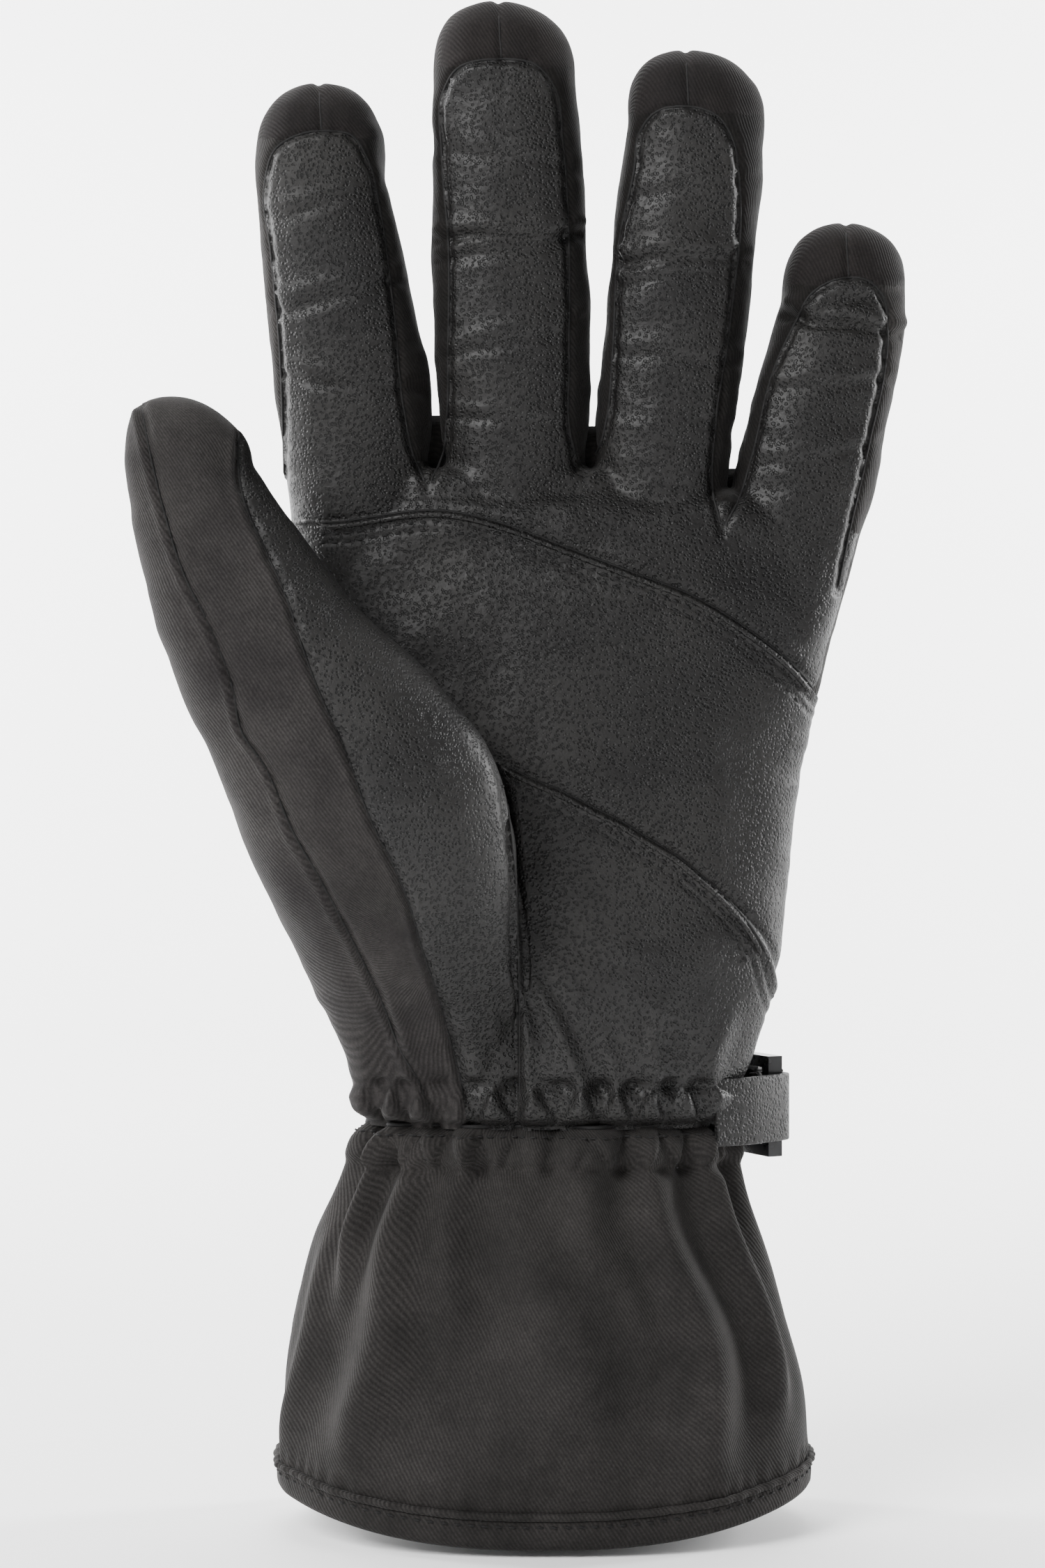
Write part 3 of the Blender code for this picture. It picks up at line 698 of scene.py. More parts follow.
def cuffPoint(angles, heights, outward=0.0, folds=1.0):
    x, y = cuffRadius(angles, heights)
    unit = np.stack([np.cos(angles) * 0.9, np.sin(angles)], 1)
    unit /= np.linalg.norm(unit, axis=1)[:, None]
    down = wrist["seam"] - heights
    up = (heights - hemHeight) / (wrist["seam"] - hemHeight)
    turn = angles + 0.05 * np.sin(3 * up * math.pi)
    fold = 0
    for place, lean, width, height, low, high in cuffFolds:
        side = (np.mod(turn - math.radians(1) * (place + lean * up) + math.pi, 2 * math.pi) - math.pi) / width
        ridge = np.exp(-(side**2)) - 0.35 * np.exp(-((np.abs(side) - 2) ** 2))
        fold = fold + height * ridge * smoothStep(low - 0.15, low + 0.15,
                                                  up) * (1 - smoothStep(high, high + 0.25, up))
    fold += 0.8 * np.sin(11 * turn + 2.1 + 1.3 * np.sin(turn) + 1.6 * up) * smoothStep(0.4, 0.8, up)
    fold += 0.6 * np.sin(19 * turn + 0.4 + 1.2 * np.sin(3 * turn)) * smoothStep(0.6, 0.95, up)
    puff, phase = puckers(x, down, wrist["lower"])
    flat = smoothStep(0, 0.45, np.abs(np.sin(angles)))
    fold += puff * flat
    ditch = np.exp(-(((down - wrist["reach"] - 0.4) / 1.3) ** 2))
    fold -= 1.7 * ditch * (0.55 - 0.45 * np.cos(2 * math.pi * phase)) * flat
    fold -= wrist["pinch"] * np.exp(-((down / 2.2) ** 2))
    hem = np.exp(-(((heights - hemHeight - cuff["band"] - 1.8) / 2.6) ** 2))
    fold += 0.2 * np.sin(angles * 58 + 2.5 * np.sin(7 * angles)) * hem
    ring = np.stack([x / 12, y / 12, heights / 16], 1)
    fold += 0.5 * noiseAt(ring, 1, 11) * smoothStep(0.1, 0.3, up)
    x = x + unit[:, 0] * (fold * folds + outward)
    y = y + unit[:, 1] * (fold * folds + outward)
    rise = cuff["sideRise"] * np.cos(angles) ** 2 * np.clip(1 - heights / cuff["riseReach"], 0, 1)
    return np.stack([x, y, heights + rise], 1)


def gridObject(name, rows, closed=True):
    count = len(rows[0])
    points = np.concatenate(rows)
    faces = []
    across = count if closed else count - 1
    for j in range(len(rows) - 1):
        for i in range(across):
            a, b = j * count + i, j * count + (i + 1) % count
            faces.append((a, b, b + count, a + count))
    return addMeshObject(name, points, faces)


def buildCuff():
    made = {}
    count = cuff["columns"]
    for name, start in (("cuff_palm", math.pi), ("cuff_back", 0.0)):
        angles = np.linspace(start, start + math.pi, count // 2 + 1)
        heights = np.linspace(hemHeight + cuff["band"] - 0.6, wrist["seam"] - 0.2, cuff["rowCount"])
        rows = [cuffPoint(angles, np.full(len(angles), h)) for h in heights]
        rows.append(cuffPoint(angles, np.full(len(angles), wrist["seam"] + 0.3), -0.5))
        rows.append(cuffPoint(angles, np.full(len(angles), wrist["seam"] + 0.3), -1.9))
        made[name] = gridObject(name, rows, closed=False)
    angles = np.linspace(0, 2 * math.pi, count * 2, endpoint=False)

    def ring(height, outward, folds=1.0):
        return cuffPoint(angles, np.full(count * 2, hemHeight + height), outward, folds)

    band = cuff["band"]
    profile = [(band - 0.5, -0.5), (band - 0.15, 0.3), (band - 0.6, 0.7), (band * 0.8, 0.62),
               (band * 0.5, 0.7),
               (1.3, 0.62), (0.5, 0.25), (0.1, -0.45), (0.1, -1.2), (0.6, -1.9), (2.0, -2.2),
               (band + 1, -2.3)]
    made["hem_binding"] = gridObject("hem_binding", [ring(h, o) for h, o in profile])
    turns = np.linspace(0, 2 * math.pi, 13)
    made["hem_piping"] = gridObject(
        "hem_piping", [ring(band + 0.35 + 0.75 * math.sin(t), 0.6 + 0.75 * math.cos(t)) for t in turns])
    pocket = [(h, -2.4 - 1.2 * smoothStep(60, 76, h),
               0.4 * (1 - smoothStep(55, 70, h))) for h in np.linspace(band, 94, 44)]
    pocket += [(94 + 9 * math.sin(t), -3.6 - 12 * (1 - math.cos(t)), 0.0) for t in np.linspace(0.2, 1.5, 8)]
    made["cuff_lining"] = gridObject("cuff_lining", [ring(*row)[::3] for row in pocket][::-1])
    print("cuff built")
    return made


# A round bead along points that lie on the surface.
def sweep(path, normals, radius, sides=8, flatten=1.0):
    path, normals = np.array(path), np.array(normals)
    along = np.gradient(path, axis=0)
    along /= np.maximum(np.linalg.norm(along, axis=1), 1e-9)[:, None]
    side = np.cross(along, normals)
    side /= np.maximum(np.linalg.norm(side, axis=1), 1e-9)[:, None]
    out = np.cross(side, along)
    rows = []
    ends = np.ones(len(path))
    ends[[0, -1]] = 0.05
    for turn in np.linspace(0, 2 * math.pi, sides, endpoint=False):
        offset = side * math.cos(turn) + out * math.sin(turn) * flatten
        rows.append(path + offset * (radius * ends)[:, None])
    return rows


def sweepObject(name, runs, sides=8):
    points, faces = [], []
    for rows in runs:
        length = len(rows[0])
        start = len(points)
        points += np.concatenate(rows).tolist()
        for k in range(sides):
            nextRow = (k + 1) % sides
            for i in range(length - 1):
                a, b = start + k * length + i, start + nextRow * length + i
                faces.append((a, b, b + 1, a + 1))
    return addMeshObject(name, points, faces)


eyePoint = Vector(view["eye"])


def onFront(tree, places):
    found, normals = [], []
    for x, z in places:
        hit, normal, _, _ = tree.ray_cast(eyePoint, Vector((x, 0, z)) - eyePoint)
        if hit is not None:
            found.append(tuple(hit))
            normals.append(tuple(normal))
    return np.array(found), np.array(normals)


def evenly(line, pitch):
    line = np.asarray(line, float)
    lengths = np.concatenate([[0], np.cumsum(np.linalg.norm(np.diff(line, axis=0), axis=1))])
    places = np.arange(pitch / 2, lengths[-1], pitch)
    return np.stack([np.interp(places, lengths, line[:, k]) for k in range(line.shape[1])], 1)


def shifted(line, distance):
    line = np.asarray(line, float)
    along = np.gradient(line, axis=0)
    along /= np.linalg.norm(along, axis=1)[:, None]
    return line + np.stack([-along[:, 1], along[:, 0]], 1) * distance


# Rows of short threads: each is one stitch that dips into the leather at its ends.
def stitchRuns(points, normals, length, radius, lift):
    runs = []
    along = np.gradient(points, axis=0)
    along /= np.maximum(np.linalg.norm(along, axis=1), 1e-9)[:, None]
    for place, normal, direction in zip(points, normals, along):
        steps = np.linspace(-1, 1, 5)
        path = [place + direction * s * length / 2 + normal * (lift - radius * 1.1 * s * s) for s in steps]
        runs.append(sweep(path, [normal] * 5, radius, sides=5))
    return runs


def blendDigit(obj):
    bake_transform(obj)


def addSeams(tree):
    made = []
    for name, z0 in (("upperRim", -44), ("lowerRim", -8)):
        line = lines[name]
        line = line[(line[:, 0] > z0) & (line[:, 0] < np.interp(line[:, 1], *np.array(palmBorder).T) - 0.5)]
        side = -1 if line[0, 0] < line[-1, 0] else 1
        places, normals = onFront(tree, evenly(shifted(line, side * 0.55), 0.8))
        rim = sweepObject(name + "_fold", [sweep(places, normals, 0.5, flatten=0.8)])
        # A thin dark tube with the thread finish beside the rim is painted shadow under the raised rim.
        places, normals = onFront(tree, evenly(shifted(line, -side * 0.35), 0.8))
        shade = sweepObject(name + "_edge", [sweep(places - normals * 0.12, normals, 0.3)])
        runs = []
        for row in (1.9, 3.5):
            places, normals = onFront(tree, evenly(shifted(line, side * row), 2.4))
            runs += stitchRuns(places, normals, 1.55, 0.3, 0.02)
        threads = sweepObject(name + "_stitches", runs, sides=5)
        made += [(rim, "leather", "hand"), (shade, "thread", "hand"), (threads, "thread", "hand")]

    for name, outline in outlines.items():
        crotch = np.interp(outline[:, 0], *np.array(crotchLine).T)
        line = outline[outline[:, 1] > crotch - 1]
        places, normals = onFront(tree, evenly(line, 0.8))
        seam = sweepObject(name + "_seam", [sweep(places - normals * 0.1, normals, 0.3)])
        made.append((seam, "thread", name))
        top = max(z for _, z in faceOutlines[name])
        tipX, tipZ = tubes[name]["tip"]
        line = [(tipX - (z - tipZ) * 0.06, z) for z in np.arange(top, tipZ - 1.2, 0.5)]
        places, normals = onFront(tree, line)
        tip = sweepObject(name + "_tip_seam", [sweep(places - normals * 0.1, normals, 0.24)])
        made.append((tip, "thread", name))

    for name, low in (("leatherTwill", 84), ("twillTwill", 84), ("thumbPalm", 84)):
        line = lines[name][lines[name][:, 1] > low]
        places, normals = onFront(tree, evenly(line, 0.8))
        seam = sweepObject(name + "_seam", [sweep(places - normals * 0.12, normals, 0.28)])
        made.append((seam, "thread", "thumb" if name != "thumbPalm" else "hand"))
    return made


def addWristSeam():
    angles = np.linspace(0, 2 * math.pi, 360, endpoint=False)
    angles = np.concatenate([angles, angles[:1] + 2 * math.pi])
    path = cuffPoint(angles, np.full(len(angles), wrist["seam"] + 0.1), -0.1)
    normals = np.stack([np.cos(angles), np.sin(angles), 0 * angles], 1)
    made = [(sweepObject("wrist_seam", [sweep(path, normals, 0.42)]), "thread", "hand")]
    for name, height, pitch, outward in (("wrist_stitches", wrist["seam"] - 1.6, 2.3, 0.15),
                                          ("hem_stitches", hemHeight + 4.6, 2.5, 0.72)):
        ring = cuffPoint(angles, np.full(len(angles), height), outward)
        places = evenly(ring, pitch)
        turn = np.arctan2(places[:, 1], places[:, 0])
        outwards = np.stack([np.cos(turn), np.sin(turn), 0 * turn], 1)
        runs = stitchRuns(places, outwards, 1.5, 0.22, 0.05)
        made.append((sweepObject(name, runs, sides=5), "thread", "hand"))
    return made


# Folded fabric that closes the gap between two fingers; its darker twill is painted shade.
webLook = {"long": 24, "half": 4.5, "depth": 4.4, "place": 1.4}
webs = {"index_middle": (-21.4, 215), "middle_ring": (9.0, 213), "ring_little": (36.4, 205)}


def addWebs():
    made = []
    for name, (x, top) in webs.items():
        rows = []
        for height in np.linspace(top - webLook["long"], top, 15):
            share = (top - height) / webLook["long"]
            close = math.sqrt(max(1 - (1 - min(share * 4, 1)) ** 2, 0.0))
            angles = np.linspace(0, 2 * math.pi, 24, endpoint=False)
            px, pz = atDepth(x, height, 4)
            depth = webLook["depth"] * close + 0.05
            rows.append(np.stack([px + webLook["half"] * np.cos(angles),
                                  webLook["place"] + depth * np.sin(angles), np.full(24, pz)], 1))
        # The darker twill on the web is painted shade between the fingers.
        made.append((gridObject(name + "_web", rows), "shadedTwill", "hand"))
    return made


# Straps start from the solids they stand for, with rounded edges and a finer mesh.
straps = {"wrist_strap": ("webbing", "hand"), "strap_loop": ("webbing", "buckle"),
          "strap_tail": ("webbing", "strap_tail"),
          "strap_tab": ("leather", "hand")}


def addStraps():
    made = []
    for node, (finish, body) in straps.items():
        source = bpy.data.objects[node]
        mesh = source.data.copy()
        mesh.materials.clear()
        obj = bpy.data.objects.new(node + "_woven", mesh)
        bpy.context.scene.collection.objects.link(obj)
        work = bmesh.new()
        work.from_mesh(mesh)
        bmesh.ops.remove_doubles(work, verts=work.verts, dist=0.00002)
        bmesh.ops.dissolve_limit(work, angle_limit=0.02, verts=work.verts, edges=work.edges)
        work.to_mesh(mesh)
        work.free()
        activate(obj)
        bevel = obj.modifiers.new("edges", "BEVEL")
        bevel.width = 0.32 * mm
        bevel.segments = 3
        bevel.limit_method = "ANGLE"
        bevel.angle_limit = math.radians(50)
        bpy.ops.object.modifier_apply(modifier="edges")
        bpy.ops.object.shade_smooth_by_angle(angle=math.radians(40))
        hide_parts(node)
        made.append((obj, finish, body))
    return made


def linear(code):
    parts = [int(code[i:i + 2], 16) / 255 for i in (1, 3, 5)]
    return tuple(p / 12.92 if p <= 0.04045 else ((p + 0.055) / 1.055) ** 2.4 for p in parts) + (1.0,)


def addNode(tree, kind, settings=None, links=None, **fields):
    node = tree.nodes.new(kind)
    for key, value in fields.items():
        setattr(node, key, value)
    for key, value in (settings or {}).items():
        node.inputs[key].default_value = value
    for key, source in (links or {}).items():
        tree.links.new(source, node.inputs[key])
    return node


def newMaterial(name, **settings):
    material = bpy.data.materials.new(name)
    material.use_nodes = True
    tree = material.node_tree
    shader = tree.nodes["Principled BSDF"]
    for key, value in settings.items():
        shader.inputs[key.replace("_", " ")].default_value = value
    coordinate = addNode(tree, "ShaderNodeTexCoord")
    return material, tree, shader, coordinate.outputs["Object"]


def colourRamp(tree, factor, stops):
    ramp = addNode(tree, "ShaderNodeValToRGB", links={"Fac": factor})
    while len(ramp.color_ramp.elements) < len(stops):
        ramp.color_ramp.elements.new(0.5)
    for element, (place, code) in zip(ramp.color_ramp.elements, stops):
        element.position = place
        element.color = linear(code)
    return ramp.outputs["Color"]


def multiply(tree, colour, factor):
    mix = addNode(tree, "ShaderNodeMix", data_type="RGBA", blend_type="MULTIPLY")
    mix.inputs[0].default_value = 1.0
    tree.links.new(colour, mix.inputs[6])
    tree.links.new(factor, mix.inputs[7])
    return mix.outputs[2]


# Coated synthetic leather, embossed: pits 0.65 mm apart, darkened in colour as painted shade,
# in a satin film that catches the light on the raised grain between them.
leatherLook = {"pits": 1 / 0.00068, "pebble": 1 / 0.0011, "cloud": 1 / 0.022, "dark": "#0e0d0d",
               "light": "#1c1b1a",
               "roughness": 0.5}


def embossedLeather(name):
    material, tree, shader, place = newMaterial(name, Specular_IOR_Level=0.25)
    cloud = addNode(tree, "ShaderNodeTexNoise",
                    {"Scale": leatherLook["cloud"], "Detail": 2.0, "Roughness": 0.5},
                    {"Vector": place})
    tone = colourRamp(tree, cloud.outputs["Fac"], [(0.3, leatherLook["dark"]), (0.72, leatherLook["light"])])
    wander = addNode(tree, "ShaderNodeTexNoise", {"Scale": 900.0, "Detail": 1.0}, {"Vector": place})
    spread = addNode(tree, "ShaderNodeVectorMath", {1: (0.0004, 0.0004, 0.0004)},
                     {0: wander.outputs["Color"]},
                     operation="MULTIPLY")
    moved = addNode(tree, "ShaderNodeVectorMath", links={0: place, 1: spread.outputs[0]}, operation="ADD")
    pits = addNode(tree, "ShaderNodeTexVoronoi", {"Scale": leatherLook["pits"]}, {"Vector": moved.outputs[0]})
    hole = addNode(tree, "ShaderNodeMapRange",
                   {"From Min": 0.28, "From Max": 0.5, "To Min": 0.0, "To Max": 1.0},
                   {"Value": pits.outputs["Distance"]})
    # Painted shade: the base colour falls to a fifth in the pits.
    shade = addNode(tree, "ShaderNodeMapRange", {"To Min": 0.2, "To Max": 1.0},
                    {"Value": hole.outputs["Result"]})
    tree.links.new(multiply(tree, tone, shade.outputs["Result"]), shader.inputs["Base Color"])
    rough = addNode(tree, "ShaderNodeMapRange",
                    {"From Min": 0.3, "From Max": 0.7, "To Min": leatherLook["roughness"] - 0.05,
                                                 "To Max": leatherLook["roughness"] + 0.06},
                                                 {"Value": cloud.outputs["Fac"]})
    tree.links.new(rough.outputs["Result"], shader.inputs["Roughness"])
    pebble = addNode(tree, "ShaderNodeTexNoise", {"Scale": leatherLook["pebble"], "Detail": 3.0},
                     {"Vector": place})
    coarse = addNode(tree, "ShaderNodeBump", {"Strength": 0.55, "Distance": 0.0003},
                     {"Height": pebble.outputs["Fac"]})
    fine = addNode(tree, "ShaderNodeBump", {"Strength": 0.8, "Distance": 0.00018},
                   {"Height": hole.outputs["Result"], "Normal": coarse.outputs["Normal"]})
    tree.links.new(fine.outputs["Normal"], shader.inputs["Normal"])
    return material


# Woven polyester twill: slanting ribs of fine yarn that scatter light with a faint
# sheen. Real ribs are 0.47 mm apart, drawn at 0.62 mm so that they show.
twillLook = {"pitch": 0.00062, "yarn": 2400.0, "cloud": 55.0}


def wovenTwill(name, dark, light, slant):
    material, tree, shader, place = newMaterial(
        name, Roughness=0.85, Specular_IOR_Level=0.13, Sheen_Weight=0.035, Sheen_Roughness=0.4)
    laid = addNode(tree, "ShaderNodeAttribute", attribute_name="weave")
    turned = addNode(tree, "ShaderNodeMapping", {"Rotation": (0, 0, math.radians(slant))},
                     {"Vector": laid.outputs["Vector"]})
    wave = addNode(tree, "ShaderNodeTexWave", {"Scale": math.pi / (10 * twillLook["pitch"]),
                                               "Distortion": 0.5,
                                               "Detail": 1.0, "Detail Scale": 1.2},
                                               {"Vector": turned.outputs["Vector"]})
    yarn = addNode(tree, "ShaderNodeTexNoise", {"Scale": twillLook["yarn"], "Detail": 1.0}, {"Vector": place})
    cloud = addNode(tree, "ShaderNodeTexNoise",
                    {"Scale": twillLook["cloud"], "Detail": 5.0, "Roughness": 0.7},
                    {"Vector": place})
    tone = colourRamp(tree, cloud.outputs["Fac"], [(0.3, dark), (0.72, light)])
    rib = addNode(tree, "ShaderNodeMapRange", {"To Min": 0.66, "To Max": 1.12},
                  {"Value": wave.outputs["Fac"]})
    fleck = addNode(tree, "ShaderNodeMapRange",
                    {"From Min": 0.3, "From Max": 0.7, "To Min": 0.75, "To Max": 1.2},
                    {"Value": yarn.outputs["Fac"]})
    shaded = multiply(tree, multiply(tree, tone, rib.outputs["Result"]), fleck.outputs["Result"])
    tree.links.new(shaded, shader.inputs["Base Color"])
    ribs = addNode(tree, "ShaderNodeBump", {"Strength": 0.4, "Distance": 0.0002},
                   {"Height": wave.outputs["Fac"]})
    yarns = addNode(tree, "ShaderNodeBump", {"Strength": 0.45, "Distance": 0.00015},
                    {"Height": yarn.outputs["Fac"], "Normal": ribs.outputs["Normal"]})
    tree.links.new(yarns.outputs["Normal"], shader.inputs["Normal"])
    return material


# Flat woven webbing: yarns run along the strap, which lies level all round the wrist.
def flatWebbing(name):
    material, tree, shader, place = newMaterial(name, Roughness=0.75, Specular_IOR_Level=0.15,
                                                Sheen_Weight=0.03)
    rows = addNode(tree, "ShaderNodeTexWave", {"Scale": math.pi / (10 * 0.0011), "Distortion": 0.4},
                   {"Vector": place},
                   bands_direction="Z")
    picks = addNode(tree, "ShaderNodeTexWave", {"Scale": math.pi / (10 * 0.0013), "Distortion": 0.4},
                    {"Vector": place},
                    bands_direction="X")
    both = addNode(tree, "ShaderNodeMath", links={0: rows.outputs["Fac"], 1: picks.outputs["Fac"]},
                   operation="MULTIPLY")
    tree.links.new(colourRamp(tree, both.outputs[0], [(0.1, "#0b0b0b"), (0.8, "#201f1e")]),
                   shader.inputs["Base Color"])
    bump = addNode(tree, "ShaderNodeBump", {"Strength": 0.8, "Distance": 0.0003}, {"Height": both.outputs[0]})
    tree.links.new(bump.outputs["Normal"], shader.inputs["Normal"])
    return material


# Injection-moulded acetal, black and nearly smooth, with faint flow marks.
def mouldedPlastic(name):
    material, tree, shader, place = newMaterial(name, Specular_IOR_Level=0.5)
    marks = addNode(tree, "ShaderNodeTexNoise", {"Scale": 260.0, "Detail": 3.0}, {"Vector": place})
    tree.links.new(colourRamp(tree, marks.outputs["Fac"], [(0.3, "#0e0e0f"), (0.7, "#1a1a1c")]),
                   shader.inputs["Base Color"])
    rough = addNode(tree, "ShaderNodeMapRange", {"To Min": 0.2, "To Max": 0.36},
                    {"Value": marks.outputs["Fac"]})
    tree.links.new(rough.outputs["Result"], shader.inputs["Roughness"])
    bump = addNode(tree, "ShaderNodeBump", {"Strength": 0.12, "Distance": 0.0002},
                   {"Height": marks.outputs["Fac"]})
    tree.links.new(bump.outputs["Normal"], shader.inputs["Normal"])
    return material


# Brushed knit lining: soft short pile with no ribs.
def brushedFleece(name):
    material, tree, shader, place = newMaterial(name, Roughness=0.95, Specular_IOR_Level=0.15,
                                                Sheen_Weight=0.5,
                                                Sheen_Roughness=0.6)
    pile = addNode(tree, "ShaderNodeTexNoise", {"Scale": 900.0, "Detail": 5.0, "Roughness": 0.7},
                   {"Vector": place})
    clump = addNode(tree, "ShaderNodeTexNoise", {"Scale": 190.0, "Detail": 3.0}, {"Vector": place})
    tree.links.new(colourRamp(tree, clump.outputs["Fac"], [(0.3, "#1b1b1c"), (0.7, "#343436")]),
                   shader.inputs["Base Color"])
    coarse = addNode(tree, "ShaderNodeBump", {"Strength": 0.7, "Distance": 0.0008},
                     {"Height": clump.outputs["Fac"]})
    fine = addNode(tree, "ShaderNodeBump", {"Strength": 0.8, "Distance": 0.0003},
                   {"Height": pile.outputs["Fac"], "Normal": coarse.outputs["Normal"]})
    tree.links.new(fine.outputs["Normal"], shader.inputs["Normal"])
    return material


# Twisted polyester sewing thread, sunk in its seam.
def sewingThread(name):
    material, tree, shader, place = newMaterial(name, Roughness=0.75, Specular_IOR_Level=0.25)
    twist = addNode(tree, "ShaderNodeTexNoise", {"Scale": 2600.0, "Detail": 2.0}, {"Vector": place})
    tree.links.new(colourRamp(tree, twist.outputs["Fac"], [(0.3, "#070707"), (0.7, "#151414")]),
                   shader.inputs["Base Color"])
    bump = addNode(tree, "ShaderNodeBump", {"Strength": 0.4, "Distance": 0.0001},
                   {"Height": twist.outputs["Fac"]})
    tree.links.new(bump.outputs["Normal"], shader.inputs["Normal"])
    return material


def makeMaterials():
    return {
        "leather": embossedLeather("embossed synthetic leather"),
        "twill": wovenTwill("woven shell twill", "#191817", "#2a2827", -30),
        "thumbTwill": wovenTwill("woven shell twill on the thumb", "#1c1a1a", "#2e2c2b", -8),
        # A darker copy of the shell twill: painted shade on the finger sides and webs between the fingers.
        "shadedTwill": wovenTwill("woven twill, deep between fingers", "#0c0b0a", "#151312", -30),
        "capTwill": wovenTwill("woven twill of the tip caps", "#121010", "#1d1a19", -24),
        "lining": brushedFleece("brushed knit lining"),
        "webbing": flatWebbing("flat nylon webbing"),
        "plastic": mouldedPlastic("moulded acetal"),
        "thread": sewingThread("twisted sewing thread"),
    }


def setMaterial(obj, material):
    obj.data.materials.clear()
    obj.data.materials.append(material)


vertices, quads = buildBody()
surface = Surface(vertices, quads)
surface.smooth(bodyMesh["smoothing"])
shapeBody(surface)
for index, fingerName in enumerate(outlines):
    snapTo(surface, "face_" + fingerName, lambda f: (f["digit"] == index) & (f["normal"][:, 1] < -0.1), 0.4)
for seamName in ("leatherTwill", "twillTwill"):
    snapTo(surface, seamName, lambda f: f["thumb"] & (f["normal"][:, 1] < -0.1), 0.4)
for seamName in ("upperRim", "lowerRim"):
    snapTo(surface, seamName, lambda f: ~f["thumb"] & (f["normal"][:, 1] < -0.1), 0.4)

keep = surface.points[surface.quads][:, :, 2].mean(axis=1) > wrist["seam"] - 0.4
surface.quads = surface.quads[keep]
labels = labelFaces(surface)
skin = cutPieces(surface, labels)
cuffPieces = buildCuff()
materials = makeMaterials()

leatherParts = ("_face", "_leather", "palm_upper", "palm_patch", "palm_heel")


# Length walked round an oval, from its left side.
def arcAround(angle, halfWidth, halfDepth):
    turns = np.linspace(-math.pi, 2 * math.pi, 721)
    speed = np.hypot(halfWidth * np.sin(turns), halfDepth * np.cos(turns))
    walked = np.concatenate([[0], np.cumsum((speed[1:] + speed[:-1]) / 2 * np.diff(turns))])
    return np.interp(angle, turns, walked)


ovals = {"thumb": (18, 13), "index": (14.5, 12.6), "middle": (14.2, 12.7), "ring": (13.6, 12.6),
         "little": (12.6, 11.8),
         "hand": (46, 18), "cuff": (47, 26)}


# Cloth runs round and along its own tube, so its ribs follow the surface.
def layWeave(obj, tube):
    points = np.empty(len(obj.data.vertices) * 3)
    obj.data.vertices.foreach_get("co", points)
    points = points.reshape(-1, 3) / mm + (0, 0, hemHeight)
    centre, along = joints.get(tube, (np.array((1.0, 0, 0)), np.array((0, 0, 1.0))))
    offset = points - centre
    lateral = offset @ np.array((along[2], 0, -along[0]))
    height = offset @ along
    if obj.name.endswith("_tip"):
        low, high = height.min(), height.max()
        over = np.arctan2(height - low, -points[:, 1] + np.mean(points[:, 1]))
        around, up = lateral, over * (high - low)
    else:
        halfWidth, halfDepth = ovals[tube]
        angle = np.arctan2(offset[:, 1] / halfDepth, lateral / halfWidth)
        if (np.abs(angle) > 2.4).sum() > (np.abs(angle) < 0.7).sum():
            angle = np.mod(angle, 2 * math.pi)
        around, up = arcAround(angle, halfWidth, halfDepth), height
    weave = np.stack([around, up, np.zeros(len(up))], 1) * mm
    obj.data.attributes.new("weave", "FLOAT_VECTOR", "POINT").data.foreach_set("vector", weave.ravel())


def finishPiece(obj, finish, body):
    if "will" in finish:
        name = obj.name.split("_")[0]
        layWeave(obj, "cuff" if name in ("cuff", "hem") else name if name in ovals else "hand")
    setMaterial(obj, materials[finish])
    if body in bends:
        blendDigit(obj)
    else:
        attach(obj, body)


outerSides = ("index_left_side", "little_right_side")


def skinFinish(name):
    if name.endswith(leatherParts):
        return "leather"
    if name.endswith("_tip"):
        return "capTwill"
    # Finger sides that face another finger take the darker twill as painted shade; the outermost sides keep
    # the plain twill.
    if name.endswith("_side") and not name.startswith("hand") and name not in outerSides:
        return "shadedTwill"
    return "thumbTwill" if name.startswith("thumb") else "twill"


for name, obj in skin.items():
    digit = name.split("_")[0]
    moves = digit in bends and not name.startswith("thumb_base")
    finishPiece(obj, skinFinish(name), digit if moves else "hand")
for name, obj in cuffPieces.items():
    finishPiece(obj, "lining" if name == "cuff_lining" else "twill", "hand")

tree = BVHTree.FromPolygons(surface.points.tolist(), surface.quads.tolist())
for obj, finish, body in addSeams(tree) + addWristSeam() + addWebs() + addStraps():
    finishPiece(obj, finish, body)
setMaterial(bpy.data.objects["buckle_frame"], materials["plastic"])
print("seams, webs and straps added")

standsFor = {
    "palm_upper": ["palm_upper_panel"],
    "palm_patch": ["palm_centre_patch", "palm_lining"],
    "palm_heel": ["palm_heel_panel"],
    "thumb_base_leather": ["thumb_base_leather"],
    "thumb_base_strip": ["thumb_base_twill"],
    "hand_back": ["back_of_hand_panel", "back_insulation", "back_lining"],
    "hand_little_side": ["little_side_gusset"],
    "hand_thumb_side": ["thumb_side_gusset"],
    "thumb_leather": ["thumb_face_panel", "thumb_lining"],
    "thumb_strip": ["thumb_tip_cap", "thumb_knuckle_gusset"],
    "thumb_outer": ["thumb_outer_panel", "thumb_web_panel", "thumb_back_panel"],
}
for finger in outlines:
    standsFor[finger + "_face"] = [finger + "_face_panel", finger + "_lining"]
    standsFor[finger + "_back"] = [finger + "_back_panel", finger + "_knuckle_gusset"]
    standsFor[finger + "_left_side"] = [finger + "_inner_fourchette"]
    standsFor[finger + "_right_side"] = [finger + "_outer_fourchette"]
    standsFor[finger + "_tip"] = [finger + "_tip_cap"]
for name, nodes in standsFor.items():
    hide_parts(*nodes)
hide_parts("cuff_palm_panel", "wrist_elastic")
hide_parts("cuff_back_panel")
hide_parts("cuff_lining")
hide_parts("hem_binding")
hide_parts("hem_piping")


stage = {"back": 1.6, "side": 3.0, "front": -2.2, "top": 2.6, "curve": 0.5}


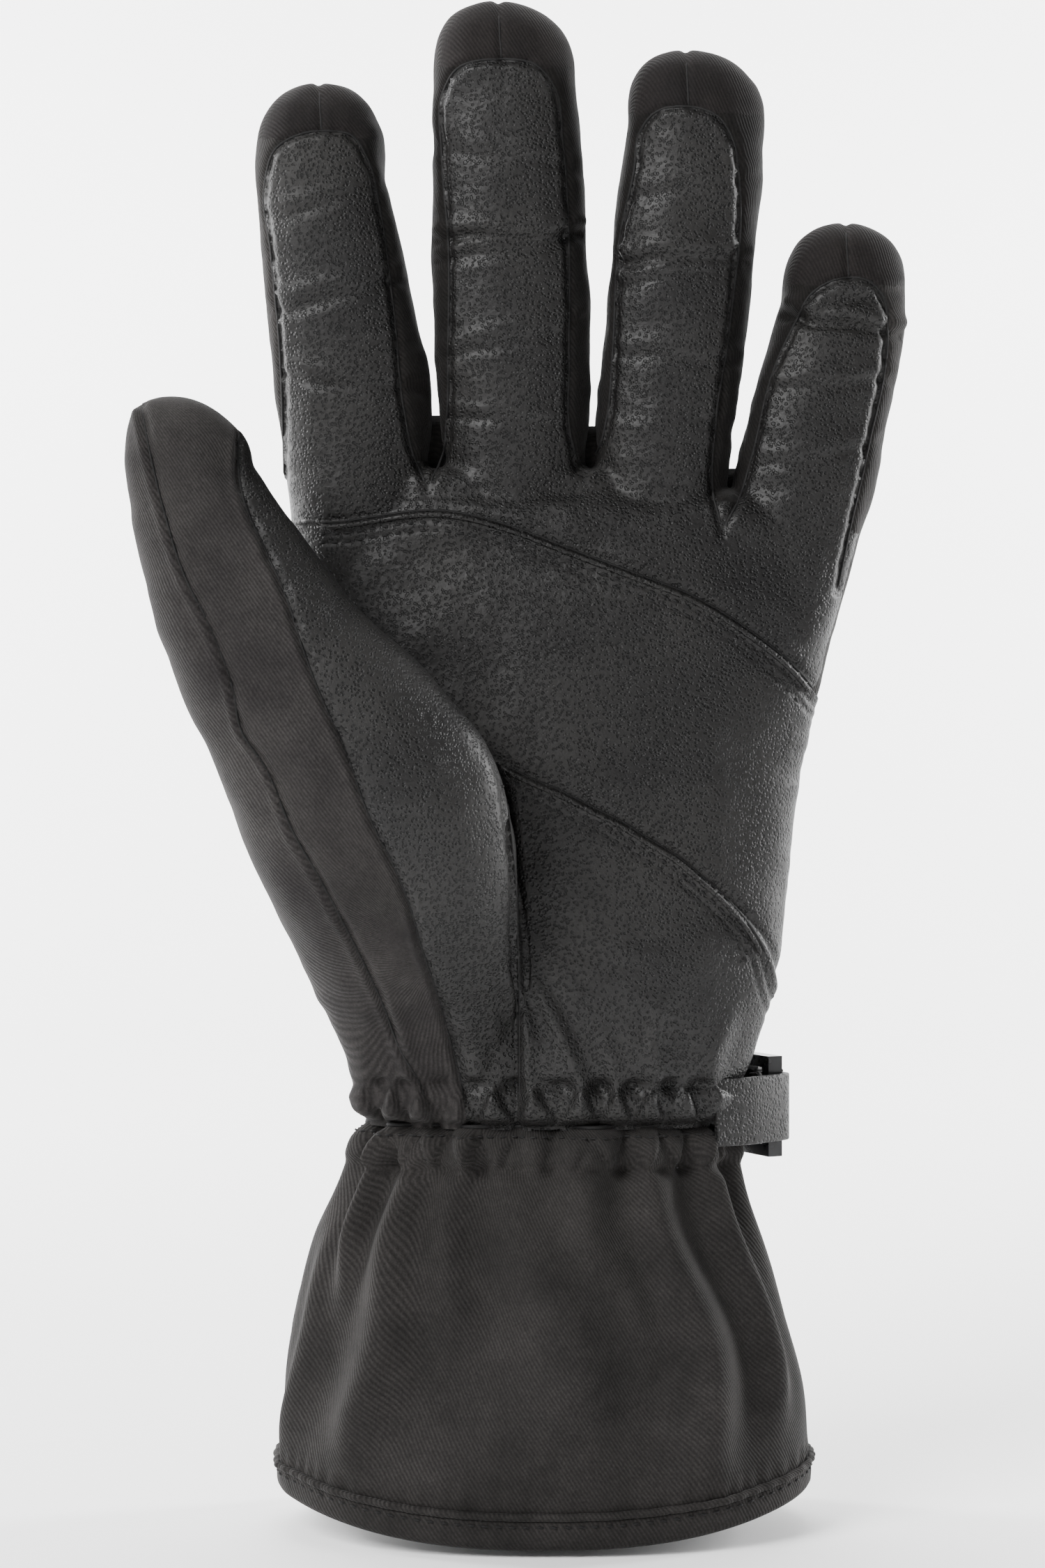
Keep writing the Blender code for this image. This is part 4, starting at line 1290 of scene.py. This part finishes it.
# Pale paper that curves up behind the glove.
def addStage():
    material, tree, shader, place = newMaterial("matt white paper", Roughness=0.95, Specular_IOR_Level=0.1)
    shader.inputs["Base Color"].default_value = linear("#fbfbfb")
    profile = [(stage["front"], -0.0012), (stage["back"] - stage["curve"], -0.0012)]
    for turn in np.linspace(0, math.pi / 2, 12)[1:]:
        profile.append((stage["back"] - stage["curve"] * (1 - math.sin(turn)),
                        -0.0012 + stage["curve"] * (1 - math.cos(turn))))
    profile.append((stage["back"], stage["top"]))
    points = [(x / mm, y / mm, z / mm + hemHeight) for x in (-stage["side"], stage["side"]) for y,
              z in profile]
    count = len(profile)
    floor = addMeshObject("paper_floor", points,
                          [(i, i + count, i + count + 1, i + 1) for i in range(count - 1)])
    setMaterial(floor, material)
    world = bpy.data.worlds.new("soft white room")
    bpy.context.scene.world = world
    world.use_nodes = True
    world.node_tree.nodes["Background"].inputs["Color"].default_value = (1, 1, 1, 1)
    world.node_tree.nodes["Background"].inputs["Strength"].default_value = 0.3


lights = [
    {"name": "window", "place": (-0.62, -0.72, 0.78), "aim": (0, 0, 0.17), "size": 0.55, "power": 24},
    {"name": "fill", "place": (0.7, -1.2, 0.5), "aim": (0, 0, 0.15), "size": 0.9, "power": 2},
    {"name": "top", "place": (-0.1, 0.5, 1.2), "aim": (0, 0.5, 0), "size": 0.9, "power": 16},
    {"name": "paper_left", "place": (-1.3, 0.5, 0.5), "aim": (-0.2, 1.6, 0.3), "size": 0.6, "power": 76},
    {"name": "paper_right", "place": (1.3, 0.5, 0.5), "aim": (0.2, 1.6, 0.3), "size": 0.6, "power": 76},
]


def addLights():
    for spec in lights:
        data = bpy.data.lights.new(spec["name"], "AREA")
        data.size = spec["size"]
        data.energy = spec["power"]
        light = bpy.data.objects.new(spec["name"], data)
        light.location = spec["place"]
        aim = Vector(spec["aim"]) - light.location
        light.rotation_euler = aim.to_track_quat("-Z", "Y").to_euler()
        bpy.context.scene.collection.objects.link(light)


def addCamera():
    data = bpy.data.cameras.new("camera")
    data.sensor_fit = "VERTICAL"
    data.sensor_height = view["sensor"]
    data.lens = -view["eye"][1] * view["sensor"] / view["height"]
    camera = bpy.data.objects.new("camera", data)
    camera.location = (eyePoint - Vector((0, 0, hemHeight))) * mm
    camera.rotation_euler = (math.pi / 2, 0, 0)
    bpy.context.scene.collection.objects.link(camera)
    bpy.context.scene.camera = camera


addStage()
addLights()
addCamera()
bpy.context.view_layer.update()
